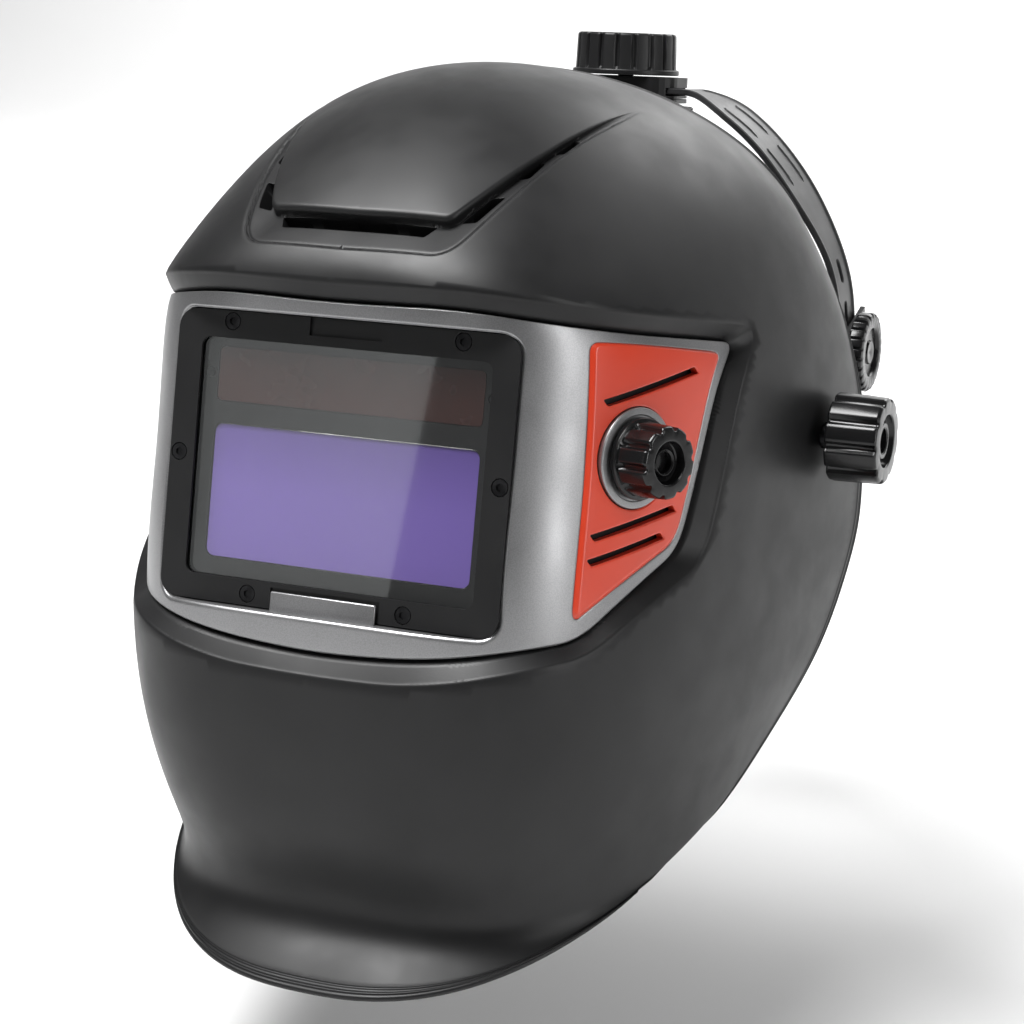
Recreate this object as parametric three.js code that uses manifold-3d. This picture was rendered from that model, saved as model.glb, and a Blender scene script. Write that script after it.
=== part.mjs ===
// Welding helmet: flip-up shell with an auto-darkening filter, on a ratchet headgear.
// Millimetres. The origin is midway between the two side pivots, on the axis the shell tilts about.
// +Z is up, the wearer looks along -Y, and the wearer's left is +X.
import * as THREE from 'three';
import { mergeVertices } from 'three/addons/utils/BufferGeometryUtils.js';
import Module from 'manifold-3d';

const wasm = await Module();
wasm.setup();

// ---------------------------------------------------------------- driving dimensions

const GAP = 0.3;                    // clearance between neighbouring pieces
const SHELL_WALL = 2.4;
const TRIM_DEPTH = 4.5;             // front of the trim below the shell's outer surface
const TRIM_WALL = 2.0;
const POCKET_DEPTH = 7.6;           // floor of the recess that the trim lies in
const PLATE_DEPTH = 4.2;            // front of the side plate below the shell's outer surface
const PLATE_WALL = 2.4;

// Sections across the shell, from the crown's rear edge down to the chin's edge. front is the
// point on the middle plane [y, z], rim is the point on the side edge [x, y, z], and square
// holds the two exponents of the section's curve: across the front, and along the side.
const SECTIONS = [
  { front: [5, 120], rim: [93, 36, 61], square: [1.95, 1.95] },
  { front: [-37, 124], rim: [104, 38, 42], square: [1.95, 1.95] },
  { front: [-88, 111], rim: [112, 38, 19], square: [2.2, 1.95] },
  { front: [-134, 81], rim: [116, 39, -2], square: [3.0, 1.8] },
  { front: [-146, 57], rim: [116, 40, -19], square: [4.0, 1.55] },
  { front: [-154, 18], rim: [116, 38, -39], square: [4.3, 1.4] },
  { front: [-163, -25], rim: [114, 28, -60], square: [4.4, 1.45] },
  { front: [-164, -70], rim: [110, 10, -82], square: [4.1, 1.65] },
  { front: [-158, -108], rim: [102, -14, -104], square: [3.6, 1.75] },
  { front: [-153, -135], rim: [95, -44, -121], square: [3.05, 1.7] },
  { front: [-173, -151], rim: [90, -68, -126], square: [2.5, 1.6] },
];

// Outlines on the shell's surface, as corners [u, v, corner size]: u runs from 0 at the middle
// to 1 at the side edge, v from 0 at the crown to 1 at the chin. Only the +u half is given.
const RECESS_EDGE = [[0, 0.361, 0], [0.40, 0.344, 0.12], [0.672, 0.278, 0.03],
  [0.616, 0.556, 0.03], [0.452, 0.628, 0.03], [0.2, 0.654, 0.1], [0, 0.656, 0]];
const TRIM_EDGE = [[0, 0.383, 0], [0.41, 0.366, 0.12], [0.652, 0.300, 0.024],
  [0.588, 0.549, 0.024], [0.448, 0.620, 0.03], [0.2, 0.638, 0.1], [0, 0.643, 0]];
const SIDE_PLATE_EDGE = [[0.421, 0.379, 0.014], [0.629, 0.324, 0.018],
  [0.579, 0.541, 0.018], [0.435, 0.606, 0.012]];
const SIDE_SLOTS = [[[0.446, 0.438], [0.582, 0.372]], [[0.446, 0.542], [0.564, 0.513]],
  [[0.446, 0.561], [0.550, 0.537]]];
const SLOT_WIDTH = 2.2;
const NORMAL_PATCH = 0.025;         // half the width in u and v that a normal is averaged over
const SHADE_KNOB_UV = [0.498, 0.476];

// Filter window: a flat opening that leans back.
const WINDOW = { centre: [0, -140, -2], lean: THREE.MathUtils.degToRad(12.3) };
const BEZEL = { x: 58.9, low: -34.7, high: 56.6, corner: 6, front: -5.3, back: -3.1 };
const BEZEL_OPENING = { x: 50.2, low: -26.6, high: 48.1, corner: 3 };
const COVER_LENS = { x: 52.2, low: -28.0, high: 50.0, corner: 2, front: -4.1, back: -3.1 };
const CARTRIDGE = { x: 55, low: -34, high: 56, front: -0.6, back: 8.4 };
const FILTER = { x: 46, half: 21, front: 0, back: 4 };
const SOLAR = { x: 46, low: 28.4, high: 45.2 };
const BEZEL_SCREWS = [[39.8, 53.4], [55.6, 11.1], [27.2, -31.0]];
const SCREW = { head: 2.6, front: -5.15, seat: -4.0, shank: 1.35, tip: -1.2, socket: 1.3, socketFloor: -4.6 };
const SCREW_HOLE = { sink: 2.9, sinkFloor: -3.9, radius: 1.65 };
const BEZEL_CLIP = { x: 12.5, low: 51.2, floor: -4.3 };       // notch for the clip at the top
const TRIM_TAB = { x: 18.5, low: -36, high: -28.5, front: -6.6, back: -5.6 };
const CARRIER = { back: 8.5, wall: 1.8, wellFloor: -2.8, seat: -1.1, ledge: -1.4 };
const APERTURE_GAP = 2.4;            // the shell's window is this much larger than the bezel
const RETAINER = { x: 59.6, low: -36.2, high: 58.2, front: 8.9, back: 10.4, armFront: 1.5, armHalf: 6 };
const RETAINER_SIGHT = { x: 52.6, low: -30, high: 53.4, corner: 3 };
const ARC_SENSOR = { x: 49, up: 37, radius: 1.4, front: -0.5, back: 1.6 };

// Controls on the rear of the cartridge.
const CONTROLS_UP = 40;
const SETTING_KNOBS = [-38, -14];
const SETTING_KNOB = { radius: 6.6, shaft: 3.0, front: 5, cap: 8.8, face: 13, pointer: 15.2 };
const TEST_BUTTON = { x: 12, radius: 4.2, stem: 3.0, front: 6.2, cap: 9.7, face: 12 };
const SHAFT_HOLE = { radius: 3.3, floor: 4.5 };
const BATTERY_COVER = { low: [33.3, 7.2, 32.3], high: [49.7, 8.9, 47.7] };

// Shade control: heights are above the side plate's face.
const SHADE_RING = { radius: 15.8, face: 15.2, back: -2.3, front: 0.9, bevel: 0.5 };
const SHADE_KNOB = { radius: 12.75, height: 13.2, lobes: 10, rib: 1.3, skirt: 2.2,
  bore: 3.3, boreDepth: 8.4, face: 6.65, faceDepth: 5.5 };
const SHADE_KNOB_GAP = 1.3;
const POTENTIOMETER = { body: 8.2, back: -14.5, shoulder: -7.4, neck: 4.8, neckEnd: 0.6,
  spindle: 3.0, tip: 8.6 };
const NECK_HOLE = 5.2;
const LEAD_RADIUS = 1.7;

// Forehead vents: from one [u, v] to another, and a width.
const HOOD_SLOT = [[-0.115, 0.284], [0.115, 0.284], 4.2];
const BACKING = { margin: 2.5, wall: 1.6, corner: 0.004 };
const SIDE_VENTS = [[[0.183, 0.270], [0.213, 0.252], 7], [[0.241, 0.228], [0.251, 0.216], 5],
  [[0.273, 0.202], [0.287, 0.189], 3.5]];

// Side pivots, on the x axis.
const PIVOT = { stud: 4.0, studHead: 9, headX: 99.5, tipX: 129, hole: 4.6, washer: 13 };
const TENSION_KNOB = { radius: 15.2, height: 18, inner: 116.4 };

// Headgear. The band is an oval round the head that slopes down to the rear. The hoop goes over
// the crown, and the two arms run outside the band and carry the pivots.
const BAND = { centreY: 58, halfX: 92, halfY: 98, midZ: 2, slope: 10, halfHeight: 11 };
const BAND_END = 118;                 // degrees round from the front, and where the rear straps end
const REAR_END = 146;
const BROW_PAD = { end: 62, inner: -7.4, thickness: 7, halfHeight: 13 };
const STRAP_WALL = 1.8;
const HOOP = { upperY: 93, lowerY: 98, upperHalf: 15, lowerHalf: 10, from: 0.28, to: 0.6 };
const HOOP_PATH = [[46.5, 96.6], [62, 83.4], [77, 62.4], [86, 44], [89.7, 27], [89.7, 9], [89.7, -8]];
const ARM_PATH = [[99.8, -13], [99.8, 10], [98.2, 28], [95.8, 46], [94.8, 60], [93.8, 74],
  [92.6, 86], [92.2, 97], [92.2, 114]];
const SIDE_DIAL = { radius: 15, inner: 94.4, y: 99, z: 9, width: 6 };
const CROWN = { y: 98, z: 99.4, leanBack: THREE.MathUtils.degToRad(5) };
const REAR = { y: 150.5, z: -8 };
const RATCHET = { teeth: 12, pitch: 6, halfX: 23, halfY: 14, base: 1.6, height: 9.6 };
const PAD_THICKNESS = 6;
const TAIL = { low: 3.4, inner: 7.3, outer: 10, wide: 31, end: 39 };

// ---------------------------------------------------------------- solids

const object = new THREE.Group();

/** A manifold solid from a closed three.js geometry. */
function solidOf(geometry) {
  const bare = geometry.clone();
  bare.deleteAttribute('normal');
  bare.deleteAttribute('uv');
  const merged = mergeVertices(bare, 1e-4);
  const vertProperties = new Float32Array(merged.attributes.position.array);
  const triVerts = new Uint32Array(merged.index.array);
  return new wasm.Manifold(new wasm.Mesh({ numProp: 3, vertProperties, triVerts }));
}

/** A three.js geometry from a manifold solid. */
function geometryOf(solid) {
  const mesh = solid.getMesh();
  const geometry = new THREE.BufferGeometry();
  geometry.setAttribute('position', new THREE.BufferAttribute(mesh.vertProperties, 3));
  geometry.setIndex(new THREE.BufferAttribute(mesh.triVerts, 1));
  geometry.computeVertexNormals();
  return geometry;
}

/** Joins a base geometry with some solids and cuts others out of it. */
function carve(base, { add = [], cut = [] }) {
  let solid = solidOf(base);
  for (const piece of add) solid = solid.add(solidOf(piece));
  for (const piece of cut) solid = solid.subtract(solidOf(piece));
  return geometryOf(solid);
}

/** Adds a named mesh to a parent. */
function place(name, geometry, material, parent = object) {
  const mesh = new THREE.Mesh(geometry, material);
  mesh.name = name;
  parent.add(mesh);
  return mesh;
}

/** A closed surface through rings of points. looped joins the last ring to the first. Each
 * four-cornered face is split along its shorter diagonal. */
function loft(rings, looped = false) {
  const count = rings[0].length;
  const positions = [];
  for (const ring of rings) for (const p of ring) positions.push(p.x, p.y, p.z);
  const index = [];
  const last = looped ? rings.length : rings.length - 1;
  for (let i = 0; i < last; i++) {
    const a = i * count;
    const b = ((i + 1) % rings.length) * count;
    for (let j = 0; j < count; j++) {
      const k = (j + 1) % count;
      const ring = rings[i];
      const next = rings[(i + 1) % rings.length];
      const straight = ring[j].distanceToSquared(next[k]) <= next[j].distanceToSquared(ring[k]);
      if (straight) index.push(a + j, b + j, b + k, a + j, b + k, a + k);
      else index.push(a + j, b + j, a + k, b + j, b + k, a + k);
    }
  }
  if (!looped) {
    for (const [start, flip] of [[0, false], [(rings.length - 1) * count, true]]) {
      const middle = new THREE.Vector3();
      const ring = flip ? rings[rings.length - 1] : rings[0];
      for (const p of ring) middle.addScaledVector(p, 1 / count);
      const hub = positions.length / 3;
      positions.push(middle.x, middle.y, middle.z);
      for (let j = 0; j < count; j++) {
        const k = (j + 1) % count;
        if (flip) index.push(start + j, hub, start + k);
        else index.push(start + j, start + k, hub);
      }
    }
  }
  if (volumeOf(positions, index) < 0) index.reverse();
  const geometry = new THREE.BufferGeometry();
  geometry.setAttribute('position', new THREE.Float32BufferAttribute(positions, 3));
  geometry.setIndex(index);
  geometry.computeVertexNormals();
  return geometry;
}

/** Signed volume that the indexed triangles enclose. */
function volumeOf(positions, index) {
  const at = (i) => new THREE.Vector3().fromArray(positions, 3 * i);
  let sum = 0;
  for (let t = 0; t < index.length; t += 3) {
    sum += at(index[t]).dot(at(index[t + 1]).cross(at(index[t + 2])));
  }
  return sum / 6;
}

/** A cylinder from a to b. */
function rod(a, b, radius, sides = 24, radiusB = radius) {
  const from = new THREE.Vector3(...a);
  const to = new THREE.Vector3(...b);
  const length = from.distanceTo(to);
  const geometry = new THREE.CylinderGeometry(radiusB, radius, length, sides);
  const turn = new THREE.Quaternion();
  turn.setFromUnitVectors(new THREE.Vector3(0, 1, 0), to.clone().sub(from).normalize());
  geometry.applyQuaternion(turn);
  geometry.translate(...from.add(to).multiplyScalar(0.5).toArray());
  return geometry;
}

/** A box between two corners. */
function block(low, high) {
  const size = high.map((h, i) => h - low[i]);
  const geometry = new THREE.BoxGeometry(...size);
  geometry.translate(...low.map((l, i) => l + size[i] / 2));
  return geometry;
}

/** A rounded rectangle in x and z, extruded along y from y0 to y1. */
function panel({ x, low, high, corner }, y0, y1) {
  const shape = new THREE.Shape();
  shape.moveTo(x - corner, low);
  shape.absarc(x - corner, low + corner, corner, -Math.PI / 2, 0);
  shape.absarc(x - corner, high - corner, corner, 0, Math.PI / 2);
  shape.absarc(-x + corner, high - corner, corner, Math.PI / 2, Math.PI);
  shape.absarc(-x + corner, low + corner, corner, Math.PI, 1.5 * Math.PI);
  const geometry = new THREE.ExtrudeGeometry(shape, {
    depth: y1 - y0, bevelEnabled: false, curveSegments: 3,
  });
  geometry.rotateX(Math.PI / 2);
  geometry.translate(0, y1, 0);
  return geometry;
}

/** The same rounded rectangle grown by a margin on every side. */
function grown(rectangle, margin) {
  const { x, low, high, corner } = rectangle;
  return { x: x + margin, low: low - margin, high: high + margin, corner: corner + margin };
}

/** A turned solid about the y axis: profile points are [radius, y], starting and ending on it. */
function turned(profile, sides = 32) {
  const points = profile.map(([r, y]) => new THREE.Vector2(r, y));
  return new THREE.LatheGeometry(points, sides);
}

/** A ribbed knob about +Y, standing on y = 0. lobes is the number of grip ribs. */
function ribbedKnob({ radius, height, lobes, rib, skirt, bore, boreDepth, face, faceDepth }) {
  const shape = new THREE.Shape();
  const steps = lobes * 3;
  for (let i = 0; i <= steps; i++) {
    const angle = (i / steps) * 2 * Math.PI;
    const wave = Math.cos(lobes * angle);
    const r = radius - rib * 0.5 * (1 - Math.tanh(2.5 * wave) / Math.tanh(2.5));
    if (i === 0) shape.moveTo(r, 0);
    else if (i < steps) shape.lineTo(r * Math.cos(angle), r * Math.sin(angle));
  }
  const grip = new THREE.ExtrudeGeometry(shape, {
    depth: height - skirt - 0.8, bevelEnabled: true, bevelThickness: 0.8, bevelSize: 0.8,
    bevelOffset: -0.8, bevelSegments: 1, curveSegments: 1,
  });
  grip.rotateX(-Math.PI / 2);
  grip.translate(0, skirt, 0);
  const foot = rod([0, 0, 0], [0, skirt + 1, 0], radius - rib - 0.6, 24);
  const cuts = [rod([0, -1, 0], [0, boreDepth, 0], bore, 16)];
  if (face > 0) cuts.push(rod([0, height - faceDepth, 0], [0, height + 2, 0], face * 0.8, 20, face));
  return carve(grip, { add: [foot], cut: cuts });
}

// ---------------------------------------------------------------- the shell's surface

/** Second derivatives of the natural cubic spline through evenly spaced values. */
function splineBend(values) {
  const n = values.length;
  const bend = new Array(n).fill(0);
  const upper = new Array(n).fill(0);
  for (let i = 1; i < n - 1; i++) {
    const pivot = 4 - upper[i - 1];
    upper[i] = 1 / pivot;
    const rise = 6 * (values[i + 1] - 2 * values[i] + values[i - 1]);
    bend[i] = (rise - bend[i - 1]) / pivot;
  }
  for (let i = n - 2; i > 0; i--) bend[i] -= upper[i] * bend[i + 1];
  return bend;
}

const SECTION_VALUES = [0, 1].map((k) => SECTIONS.map((s) => s.front[k]))
  .concat([0, 1, 2].map((k) => SECTIONS.map((s) => s.rim[k])))
  .concat([0, 1].map((k) => SECTIONS.map((s) => s.square[k])));
const SECTION_BENDS = SECTION_VALUES.map(splineBend);

/** The seven section values at v. */
function sectionAt(v) {
  const place = v * (SECTIONS.length - 1);
  const i = Math.min(Math.max(Math.floor(place), 0), SECTIONS.length - 2);
  const t = place - i;
  return SECTION_VALUES.map((values, k) => {
    const bend = SECTION_BENDS[k];
    const straight = values[i] * (1 - t) + values[i + 1] * t;
    const low = ((1 - t) ** 3 - (1 - t)) * bend[i];
    const high = (t ** 3 - t) * bend[i + 1];
    return straight + (low + high) / 6;
  });
}

/** A point of the shell's outer surface. */
function surface(u, v) {
  const [frontY, frontZ, rimX, rimY, rimZ, across, along] = sectionAt(v);
  const angle = Math.abs(u) * Math.PI / 2;
  const cos = Math.max(Math.cos(angle), 1e-9);
  const sin = Math.max(Math.sin(angle), 1e-9);
  let reach = 1;
  for (let i = 0; i < 8; i++) {
    const a = (reach * sin) ** across;
    const b = (reach * cos) ** along;
    reach -= (a + b - 1) * reach / (across * a + along * b);
  }
  const back = 1 - cos * reach;
  return new THREE.Vector3(
    Math.sign(u) * rimX * sin * reach,
    frontY + (rimY - frontY) * back,
    frontZ + (rimZ - frontZ) * back,
  );
}

/** The outward normal of the shell's surface, averaged over a small patch. */
function normalAt(u, v) {
  const step = NORMAL_PATCH;
  const across = Math.sign(u) * Math.min(Math.abs(u), 1 - step);
  const down = Math.min(Math.max(v, step), 1 - step);
  const du = surface(across + step, down).sub(surface(across - step, down));
  const dv = surface(across, down + step).sub(surface(across, down - step));
  return dv.cross(du).normalize();
}

/** A point at a depth below the shell's outer surface. */
function below(u, v, depth) {
  return surface(u, v).addScaledVector(normalAt(u, v), -depth);
}

/** Points [u, v] round an outline whose corners are rounded by curves. */
function rounded(corners, edgeSteps, cornerSteps) {
  const points = [];
  const n = corners.length;
  for (let i = 0; i < n; i++) {
    const [u, v, size] = corners[i];
    const here = new THREE.Vector2(u, v);
    const cut = (other) => {
      const to = new THREE.Vector2(other[0], other[1]);
      return here.clone().lerp(to, Math.min(0.45, size / Math.max(here.distanceTo(to), 1e-6)));
    };
    const before = cut(corners[(i + n - 1) % n]);
    const after = cut(corners[(i + 1) % n]);
    const arcSteps = size > LONG_CORNER ? 2 * cornerSteps : cornerSteps;
    for (let k = 0; k <= arcSteps; k++) {
      const t = k / arcSteps;
      points.push(before.clone().multiplyScalar((1 - t) ** 2)
        .addScaledVector(here, 2 * t * (1 - t)).addScaledVector(after, t * t));
    }
    const next = corners[(i + 1) % n];
    const nextHere = new THREE.Vector2(next[0], next[1]);
    const share = Math.min(0.45, next[2] / Math.max(nextHere.distanceTo(here), 1e-6));
    const nextBefore = nextHere.clone().lerp(here, share);
    for (let k = 1; k < edgeSteps; k++) points.push(after.clone().lerp(nextBefore, k / edgeSteps));
  }
  return points;
}

/** The whole outline from its +u half, which starts and ends on the middle line. */
function mirroredOutline(half) {
  const inner = half.slice(1, -1);
  const other = inner.map(([u, v, size]) => [-u, v, size]).reverse();
  return [half[0], ...inner, half[half.length - 1], ...other];
}

const EDGE_STEPS = 3;
const CORNER_STEPS = 2;
const LONG_CORNER = 0.1;             // a corner larger than this takes twice the steps
const TRIM_RINGS = 6;
const PLATE_RINGS = 3;
const SEAT_GROWTH = 1.008;           // the trim's seat is cut this much larger than the trim
const SEAT_SHARE = 0.06;             // the trim's seat is this much of the way to the recess's edge
const recessLoop = rounded(mirroredOutline(RECESS_EDGE), EDGE_STEPS, CORNER_STEPS);
const trimLoop = rounded(mirroredOutline(TRIM_EDGE), EDGE_STEPS, CORNER_STEPS);

const sidePlateLoop = rounded(SIDE_PLATE_EDGE, EDGE_STEPS, CORNER_STEPS);

/** The shell's own edge in [u, v], with a point for each point of the recess's outline. */
function rimLoop() {
  const centre = new THREE.Vector2(0, 0.5);
  return recessLoop.map((p) => {
    const ray = p.clone().sub(centre);
    ray.y *= 1.6;
    const scale = Math.min(1 / Math.max(Math.abs(ray.x), 1e-9), 0.5 / Math.max(Math.abs(ray.y), 1e-9));
    return new THREE.Vector2(ray.x * scale, 0.5 + ray.y * scale);
  });
}

/** Points at one depth along a loop that lies part of the way between two loops. */
function ringBetween(from, to, share, depth) {
  return from.map((p, i) => {
    const q = p.clone().lerp(to[i], share);
    return below(q.x, q.y, depth);
  });
}

/** The middle of a loop, once for each of its points. */
function hubOf(loop) {
  const centre = new THREE.Vector2();
  for (const p of loop) centre.addScaledVector(p, 1 / loop.length);
  return loop.map(() => centre);
}

/** How far out from the middle each ring of a plate lies. */
function slabShares(rings) {
  return Array.from({ length: rings }, (_, i) => 0.04 + 0.96 * (i / (rings - 1)));
}

/** A solid plate over an outline, between two depths. */
function slab(loop, top, bottom, rings) {
  const hub = hubOf(loop);
  const shares = slabShares(rings);
  const upper = shares.map((s) => ringBetween(hub, loop, s, top));
  const lower = shares.map((s) => ringBetween(hub, loop, s, bottom)).reverse();
  return loft([...upper, ...lower]);
}

/** Moves a geometry from the window's own frame into the helmet's. */
function inWindow(geometry) {
  geometry.rotateX(-WINDOW.lean);
  geometry.translate(...WINDOW.centre);
  return geometry;
}

/** A point given in the window's own frame: x, distance inward, and height up the window. */
function inWindowPoint(x, inward, up) {
  const point = new THREE.Vector3(x, inward, up);
  point.applyAxisAngle(new THREE.Vector3(1, 0, 0), -WINDOW.lean);
  return point.add(new THREE.Vector3(...WINDOW.centre));
}

/** Moves a geometry that stands along +Y onto the surface at [u, v], at a depth. */
function onSurface(geometry, [u, v], depth) {
  const turn = new THREE.Quaternion();
  turn.setFromUnitVectors(new THREE.Vector3(0, 1, 0), normalAt(u, v));
  geometry.applyQuaternion(turn);
  geometry.translate(...below(u, v, depth).toArray());
  return geometry;
}

/** A slot cutter through the surface, from one [u, v] to another. */
function slotCutter(from, to, width, deep = 12) {
  const a = surface(...from);
  const b = surface(...to);
  const along = b.clone().sub(a);
  const length = along.length();
  along.normalize();
  const mid = [(from[0] + to[0]) / 2, (from[1] + to[1]) / 2];
  const out = normalAt(...mid);
  const side = new THREE.Vector3().crossVectors(out, along).normalize();
  out.crossVectors(along, side).normalize();
  const geometry = new THREE.BoxGeometry(length, width, 2 * deep);
  const matrix = new THREE.Matrix4().makeBasis(along, side, out);
  matrix.setPosition(a.add(b).multiplyScalar(0.5).addScaledVector(out, -PLATE_DEPTH));
  geometry.applyMatrix4(matrix);
  return geometry;
}

// ---------------------------------------------------------------- materials

const paint = (color, roughness, metalness = 0) =>
  new THREE.MeshStandardMaterial({ color, roughness, metalness });
const shellPlastic = paint(0x2b2b2c, 0.42);
const trimMetal = paint(0x8f9094, 0.35, 0.75);
const redPlastic = paint(0xd23c22, 0.4);
const blackGloss = paint(0x141415, 0.3);
const blackSatin = paint(0x1d1d1e, 0.5);
const bandPlastic = paint(0x1a1a1b, 0.55);
const clearLens = paint(0xcfd6d8, 0.05);
clearLens.transparent = true;
clearLens.opacity = 0.25;
const filterPurple = paint(0x6d5aa8, 0.08);
const solarBrown = paint(0x3a1c18, 0.25);
const steel = paint(0x3a3a3c, 0.35, 0.9);
const foam = paint(0x242426, 0.9);
const cableRubber = paint(0x101010, 0.6);

// ---------------------------------------------------------------- shell, trim and side plates

const knobNormal = normalAt(...SHADE_KNOB_UV);
const mirrored = ([u, v]) => [-u, v];

/** Vents in the forehead: a wide slot under the hood, and three slots up each of its sides. */
function foreheadVents() {
  const vents = [HOOD_SLOT];
  for (const [from, to, width] of SIDE_VENTS) {
    vents.push([from, to, width], [mirrored(from), mirrored(to), width]);
  }
  return vents;
}

/** The wall behind a vent, which keeps light out. It follows the shell's inner face. */
function ventBacking([from, to, width]) {
  const mid = [(from[0] + to[0]) / 2, (from[1] + to[1]) / 2];
  const step = 0.01;
  const across = surface(mid[0] + step, mid[1]).distanceTo(surface(mid[0] - step, mid[1])) / (2 * step);
  const down = surface(mid[0], mid[1] + step).distanceTo(surface(mid[0], mid[1] - step)) / (2 * step);
  const along = new THREE.Vector2((to[0] - from[0]) * across, (to[1] - from[1]) * down);
  const length = along.length() / 2 + BACKING.margin;
  along.normalize();
  const side = new THREE.Vector2(-along.y, along.x).multiplyScalar(width / 2 + BACKING.margin);
  along.multiplyScalar(length);
  const corners = [[-1, -1], [1, -1], [1, 1], [-1, 1]].map(([a, b]) => [
    mid[0] + (a * along.x + b * side.x) / across, mid[1] + (a * along.y + b * side.y) / down, BACKING.corner]);
  const loop = rounded(corners, EDGE_STEPS, CORNER_STEPS);
  return slab(loop, SHELL_WALL - 0.4, SHELL_WALL + BACKING.wall, PLATE_RINGS);
}

function makeShell() {
  const rim = rimLoop();
  const aperture = grown(BEZEL, APERTURE_GAP);
  const hub = hubOf(trimLoop);
  const outward = [0.1, 0.3, 0.54, 0.78, 1];
  const floor = slabShares(TRIM_RINGS).filter((share) => share > 0.4);
  const top = [
    ...floor.map((s) => ringBetween(hub, trimLoop, s, POCKET_DEPTH)),
    ringBetween(trimLoop, recessLoop, SEAT_SHARE, POCKET_DEPTH),
    ringBetween(trimLoop, recessLoop, 0.18, TRIM_DEPTH + 0.4),
    ...[0, ...outward].map((s) => ringBetween(recessLoop, rim, s, 0)),
  ];
  const bottom = [
    ...floor.map((s) => ringBetween(hub, trimLoop, s, POCKET_DEPTH + SHELL_WALL)),
    ringBetween(trimLoop, recessLoop, 0.35, POCKET_DEPTH + SHELL_WALL),
    ...[0.03, ...outward].map((s) => ringBetween(recessLoop, rim, s, SHELL_WALL)),
  ].reverse();
  const skin = loft([...top, ...bottom], true);
  const vents = foreheadVents();
  const cuts = [inWindow(panel(aperture, -30, 30)), ...vents.map((vent) => slotCutter(...vent))];
  for (const grow of [1, SEAT_GROWTH]) {
    const seat = slab(trimLoop, TRIM_DEPTH - 1, TRIM_DEPTH + TRIM_WALL + 2 * GAP, TRIM_RINGS);
    const [x, y, z] = WINDOW.centre;
    cuts.push(seat.translate(-x, -y, -z).scale(grow, 1, grow).translate(x, y, z));
  }
  for (const side of [-1, 1]) {
    cuts.push(rod([side * 90, 0, 0], [side * 130, 0, 0], PIVOT.hole, 20));
  }
  cuts.push(onSurface(rod([0, -12, 0], [0, 12, 0], NECK_HOLE, 20), SHADE_KNOB_UV, POCKET_DEPTH));
  return carve(carve(skin, { cut: cuts }), { add: vents.map(ventBacking) });
}

function makeTrim() {
  const cover = slab(trimLoop, TRIM_DEPTH, TRIM_DEPTH + TRIM_WALL, TRIM_RINGS);
  const lipOuter = grown(BEZEL, 1.5);
  const lip = inWindow(panel(lipOuter, -22, BEZEL.back - 0.2));
  const inFront = slab(trimLoop, -25, TRIM_DEPTH, TRIM_RINGS);
  const lipSolid = carve(lip, { cut: [inFront] });
  const { x, low: tabLow, high, front, back } = TRIM_TAB;
  const tab = carve(inWindow(block([-x, front, tabLow], [x, back, high])), { cut: [inFront] });
  const opening = inWindow(panel(grown(BEZEL, 0.4), -40, 20));
  const cuts = [opening, slab(sidePlateLoop, -4, 14, PLATE_RINGS)];
  return carve(carve(cover, { add: [lipSolid], cut: cuts }), { add: [tab] });
}

/** A coloured plate that fills the trim's opening, a little smaller than it. */
function makeSidePlate() {
  const hub = hubOf(sidePlateLoop);
  const smaller = sidePlateLoop.map((p, i) => p.clone().lerp(hub[i], 0.014));
  const cuts = SIDE_SLOTS.map(([from, to]) => slotCutter(from, to, SLOT_WIDTH));
  const collarRoom = rod([0, -9, 0], [0, 9, 0], SHADE_RING.radius + GAP, 28);
  cuts.push(onSurface(collarRoom, SHADE_KNOB_UV, PLATE_DEPTH));
  return carve(slab(smaller, PLATE_DEPTH, PLATE_DEPTH + PLATE_WALL, PLATE_RINGS), { cut: cuts });
}

place('shell', makeShell(), shellPlastic);
place('front_trim', makeTrim(), trimMetal);
place('side_plate', makeSidePlate(), redPlastic);

// ---------------------------------------------------------------- shade control

function makeShadeControl() {
  const { radius, face, back, front, bevel } = SHADE_RING;
  const collar = turned([[0, back], [radius, back], [radius, front - bevel], [face, front], [0, front]], 28);
  const ring = carve(collar, { cut: [rod([0, -4, 0], [0, 4, 0], NECK_HOLE, 20)] });
  place('shade_knob_ring', onSurface(ring, SHADE_KNOB_UV, PLATE_DEPTH), trimMetal);
  const knob = ribbedKnob(SHADE_KNOB);
  knob.translate(0, SHADE_KNOB_GAP, 0);
  place('shade_knob', onSurface(knob, SHADE_KNOB_UV, PLATE_DEPTH), blackGloss);
  const pot = POTENTIOMETER;
  const profile = [[0, pot.back], [pot.body, pot.back], [pot.body, pot.shoulder], [pot.neck, pot.shoulder],
    [pot.neck, pot.neckEnd], [pot.spindle, pot.neckEnd], [pot.spindle, pot.tip], [0, pot.tip]];
  place('shade_potentiometer', onSurface(turned(profile, 24), SHADE_KNOB_UV, PLATE_DEPTH), steel);
}
makeShadeControl();

// ---------------------------------------------------------------- window and filter

function makeBezel() {
  const cuts = [panel(BEZEL_OPENING, -10, 10), panel(COVER_LENS_SEAT, COVER_LENS.front - GAP, 0)];
  for (const [x, s] of BEZEL_SCREWS) {
    for (const side of [-1, 1]) {
      cuts.push(rod([side * x, -9, s], [side * x, SCREW_HOLE.sinkFloor, s], SCREW_HOLE.sink, 12));
      cuts.push(rod([side * x, -9, s], [side * x, 0, s], SCREW_HOLE.radius, 8));
    }
  }
  cuts.push(block([-BEZEL_CLIP.x, -6, BEZEL_CLIP.low], [BEZEL_CLIP.x, BEZEL_CLIP.floor, 58]));
  cuts.push(block([-19, -6, -36], [19, -4.6, -28]));
  return carve(panel(BEZEL, BEZEL.front, BEZEL.back), { cut: cuts });
}

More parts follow.
